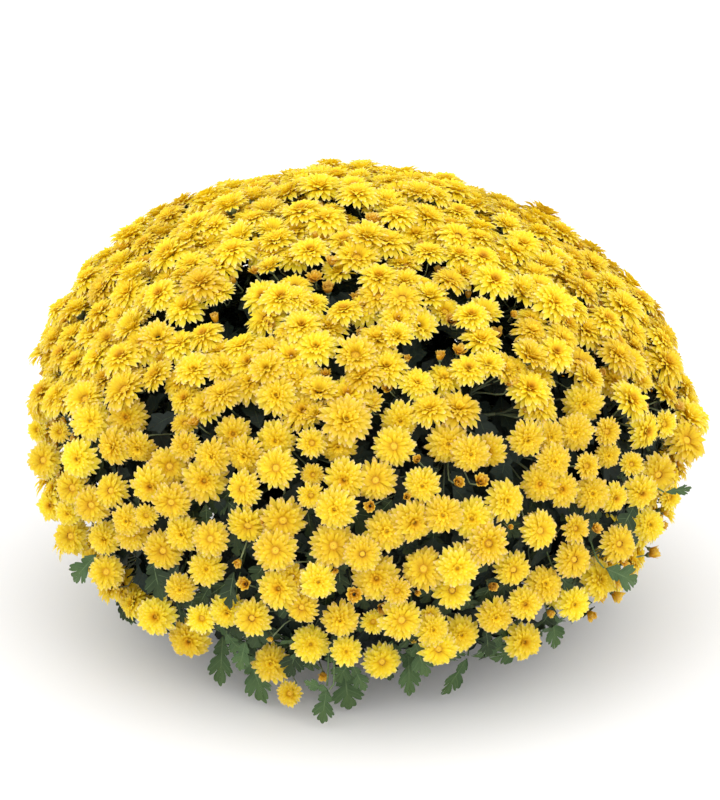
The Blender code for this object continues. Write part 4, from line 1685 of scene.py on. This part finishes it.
def makeHangingLeaves():
    # each stands for one CAD leaf, and turns to where the photograph shows its base and tip
    random = np.random.default_rng(hangingLook["seed"])
    for number, node in enumerate(leafNames):
        low, high = (np.array(corner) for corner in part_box(node))
        middle = (low + high) / 2
        outward = unit(np.array([middle[0], middle[1], 0.0]))
        length = random.uniform(*hangingLook["length"])
        lean = outward * random.uniform(-hangingLook["lean"], hangingLook["lean"])
        forward = unit(-upward + lean + random.normal(0, hangingLook["turnSpread"], 3))
        facing = outward + random.normal(0, hangingLook["facingSpread"], 3)
        base = np.array([middle[0], middle[1], high[2] + hangingLook["above"]])
        base = base + outward * hangingLook["before"]
        broad = random.uniform(*hangingLook["broad"])
        if node in hangingLooks:
            basePixel, tipPixel, broad = hangingLooks[node]
            plane = unit(outward + towardsCamera())
            base = seenInPlane(basePixel, middle, plane)
            tip = seenInPlane(tipPixel, middle, plane)
            length = np.linalg.norm(tip - base)
            forward = (tip - base) / length
            facing = plane + random.normal(0, hangingLook["shownSpread"], 3)
        # painted light: hanging leaves, in the open, take the brightest strips
        band = leaf["innerBands"] + leaf["skirtBands"] + number % 2
        inside = base - outward * hangingLook["stalkStart"] + upward * hangingLook["stalkStart"]
        leaving = outward * hangingLook["leaving"]
        piece = makeSingleLeaf(
            f"hanging_leaf_{number + 1:02d}", random, hangingLook, base, forward, length, facing, broad, band,
            inside, leaving,
        )
        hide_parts(node)


makeInnerLeaves()
makeSkirtLeaves()
makeEdgeLeaves()
makeHangingLeaves()
print("leaves made")


# finishes of the pot, the potting mix, the crown and the CAD stems: colours come from a noise of a scale and
# detail, roughness and relief from the same or a finer one, and the relief's height is in metres
finishes = {
    "potPlastic": {
        "colours": [
            (0.35, (0.011, 0.013, 0.012)), (0.60, (0.020, 0.023, 0.021)), (0.75, (0.050, 0.044, 0.034)),
        ],
        "noise": (16.0, 5.0), "fineNoise": (420.0, 3.0), "roughness": (0.32, 0.60), "height": 0.0003,
    },
    "pottingMix": {
        "colours": [
            (0.30, (0.010, 0.007, 0.004)), (0.55, (0.045, 0.029, 0.018)), (0.68, (0.095, 0.066, 0.042)),
        ],
        "noise": (260.0, 6.0), "roughness": (0.80, 1.0), "height": 0.002,
    },
    "crownBark": {
        "colours": [(0.35, (0.06, 0.045, 0.025)), (0.65, (0.18, 0.14, 0.07))],
        "noise": (240.0, 4.0), "stretch": (1, 1, 0.25), "roughness": (0.50, 0.80), "height": 0.0006,
    },
    "stemGreen": {
        "colours": [(0.35, (0.05, 0.075, 0.03)), (0.65, (0.12, 0.15, 0.06))],
        "noise": (240.0, 4.0), "stretch": (1, 1, 0.25), "roughness": (0.50, 0.80), "height": 0.0006,
    },
}
reliefStrength = 0.6


def frameMaterial(name):
    look = finishes[name]
    material, tree, shader = newMaterial(name, look)
    place = addNode(tree, "ShaderNodeTexCoord").outputs["Object"]
    if "stretch" in look:
        place = stretched(tree, place, look["stretch"])
    noise = noiseOf(tree, place, *look["noise"])
    paint(tree, shader, ramp(tree, noise, look["colours"]))
    if "fineNoise" in look:
        noise = noiseOf(tree, place, *look["fineNoise"])
    tree.links.new(remap(tree, noise, *look["roughness"]), shader.inputs["Roughness"])
    addRelief(tree, shader, noise, reliefStrength, look["height"])
    return material


# loose crumbs on the potting mix
crumb = {
    "count": 420,
    "size": (0.0015, 0.0042),
    "sides": 6,
    "rims": (0.12, 0.85, 1.0, 0.14),  # radius of each ring, as a share of half the crumb's size
    "levels": (-0.5, -0.25, 0.2, 0.5),
    "depth": 0.7,  # of a crumb, as a share of its width
    "spread": (0.75, 1.2),
    "sunk": 0.35,  # share of a crumb's size that lies in the mix
    "keep": 0.010,  # metres from the pot's wall
    "bare": 0.08,  # share of the area, round the crown
    "bands": 4,
    "seed": 11,
}


def makeCrumbs(material):
    # bits of bark and peat that lie on the potting mix
    random = np.random.default_rng(crumb["seed"])
    count = crumb["count"]
    low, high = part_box("potting_mix")
    reach = (high[0] - low[0]) / 2 - crumb["keep"]
    away = reach * np.sqrt(random.uniform(crumb["bare"], 1, count))
    turn = random.uniform(0, math.tau, count)
    size = random.uniform(*crumb["size"], count)
    middle = np.array([(low[0] + high[0]) / 2, (low[1] + high[1]) / 2, high[2]])
    lift = size * (0.5 - crumb["sunk"])
    places = middle + np.stack([away * np.cos(turn), away * np.sin(turn), lift], axis=-1)
    corner = turnsOf(crumb["sides"])
    rims = np.array(crumb["rims"])[:, None]
    x = rims * np.cos(corner)
    y = rims * np.sin(corner) * crumb["depth"]
    z = np.array(crumb["levels"])[:, None] + 0 * x
    local = np.stack([x, y, z], axis=-1) / 2 * size[:, None, None, None] * (2, 2, 1)
    local = local * random.uniform(*crumb["spread"], (count, len(rims), crumb["sides"], 1))
    x = local[..., 0] * np.cos(turn)[:, None, None] - local[..., 1] * np.sin(turn)[:, None, None]
    y = local[..., 0] * np.sin(turn)[:, None, None] + local[..., 1] * np.cos(turn)[:, None, None]
    grids = places[:, None, None] + np.stack([x, y, local[..., 2]], axis=-1)
    build = newBuild()
    addGrids(build, grids, random.integers(0, crumb["bands"], count), crumb["bands"], closed=True)
    finishPiece("crumbs", build, [material])


def dress(node, material):
    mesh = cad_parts[node].data
    for index in range(len(mesh.materials)):
        mesh.materials[index] = material


def finishFrame():
    dress("pot", frameMaterial("potPlastic"))
    soil = frameMaterial("pottingMix")
    dress("potting_mix", soil)
    makeCrumbs(soil)
    dress("crown", frameMaterial("crownBark"))
    green = frameMaterial("stemGreen")
    for number in range(1, len(sprayNames) + 1):
        dress(f"stem_{number:02d}", green)


finishFrame()
print("frame finished")

# floor and light
studio = {
    "floorSize": 30,
    "floorColour": (0.87, 0.87, 0.87),
    "floorDullness": 0.9,
    # brightness of the sky from the horizon to straight above, before the plant and behind it
    "skyFront": ((0.0, 1.15), (0.35, 2.45), (1.0, 1.22)),
    "skyBack": ((0.0, 1.3), (0.35, 0.75), (1.0, 0.8)),
    "skyBlend": (0.7, 0.3),  # how fast the one gives way to the other, and their share at the sides
    "lamps": {  # watts and place
        "right": (7, (1.5, -2.5, 1.5)),
        "left": (3.5, (-2.8, -0.7, 1.0)),
        "top": (8, (0.0, -0.4, 2.8)),
    },
    "lampSize": 1.8,
}


def makeFloor():
    mesh = bpy.data.meshes.new("floor")
    half = studio["floorSize"] / 2
    corners = [(-half, -half, 0), (half, -half, 0), (half, half, 0), (-half, half, 0)]
    mesh.from_pydata(corners, [], [range(len(corners))])
    material, _, shader = newMaterial("floorWhite", {"dullness": studio["floorDullness"]})
    shader.inputs["Base Color"].default_value = (*studio["floorColour"], 1)
    mesh.materials.append(material)
    floor = bpy.data.objects.new("floor", mesh)
    bpy.context.scene.collection.objects.link(floor)


def makeSky():
    world = bpy.data.worlds.new("studio")
    world.use_nodes = True
    tree = world.node_tree
    direction = addNode(tree, "ShaderNodeTexCoord").outputs["Generated"]
    split = addNode(tree, "ShaderNodeSeparateXYZ", None, {0: direction})
    brightest = max(value for place, value in studio["skyFront"] + studio["skyBack"])
    halves = []
    for side in ("skyFront", "skyBack"):
        stops = [(place, (value / brightest,) * 3) for place, value in studio[side]]
        halves.append(ramp(tree, split.outputs[2], stops))
    share = mathNode(tree, "MULTIPLY_ADD", split.outputs[1], *studio["skyBlend"])
    sky = mixColour(tree, "MIX", share, *halves)
    tree.links.new(sky, tree.nodes["Background"].inputs["Color"])
    tree.nodes["Background"].inputs["Strength"].default_value = brightest
    bpy.context.scene.world = world


def makeLamps():
    for name, (power, place) in studio["lamps"].items():
        lamp = bpy.data.lights.new(name, "AREA")
        lamp.energy = power
        lamp.size = studio["lampSize"]
        holder = bpy.data.objects.new(name, lamp)
        holder.location = place
        aim = Vector(upward * mound["level"]) - holder.location
        holder.rotation_euler = aim.to_track_quat("-Z", "Y").to_euler()
        bpy.context.scene.collection.objects.link(holder)


makeFloor()
makeSky()
makeLamps()
bpy.context.scene.view_settings.view_transform = "Standard"
print("studio made")

meshes = [piece.data for piece in bpy.data.objects if piece.type == "MESH"]
print("triangles:", sum(len(mesh.loops) - 2 * len(mesh.polygons) for mesh in meshes))
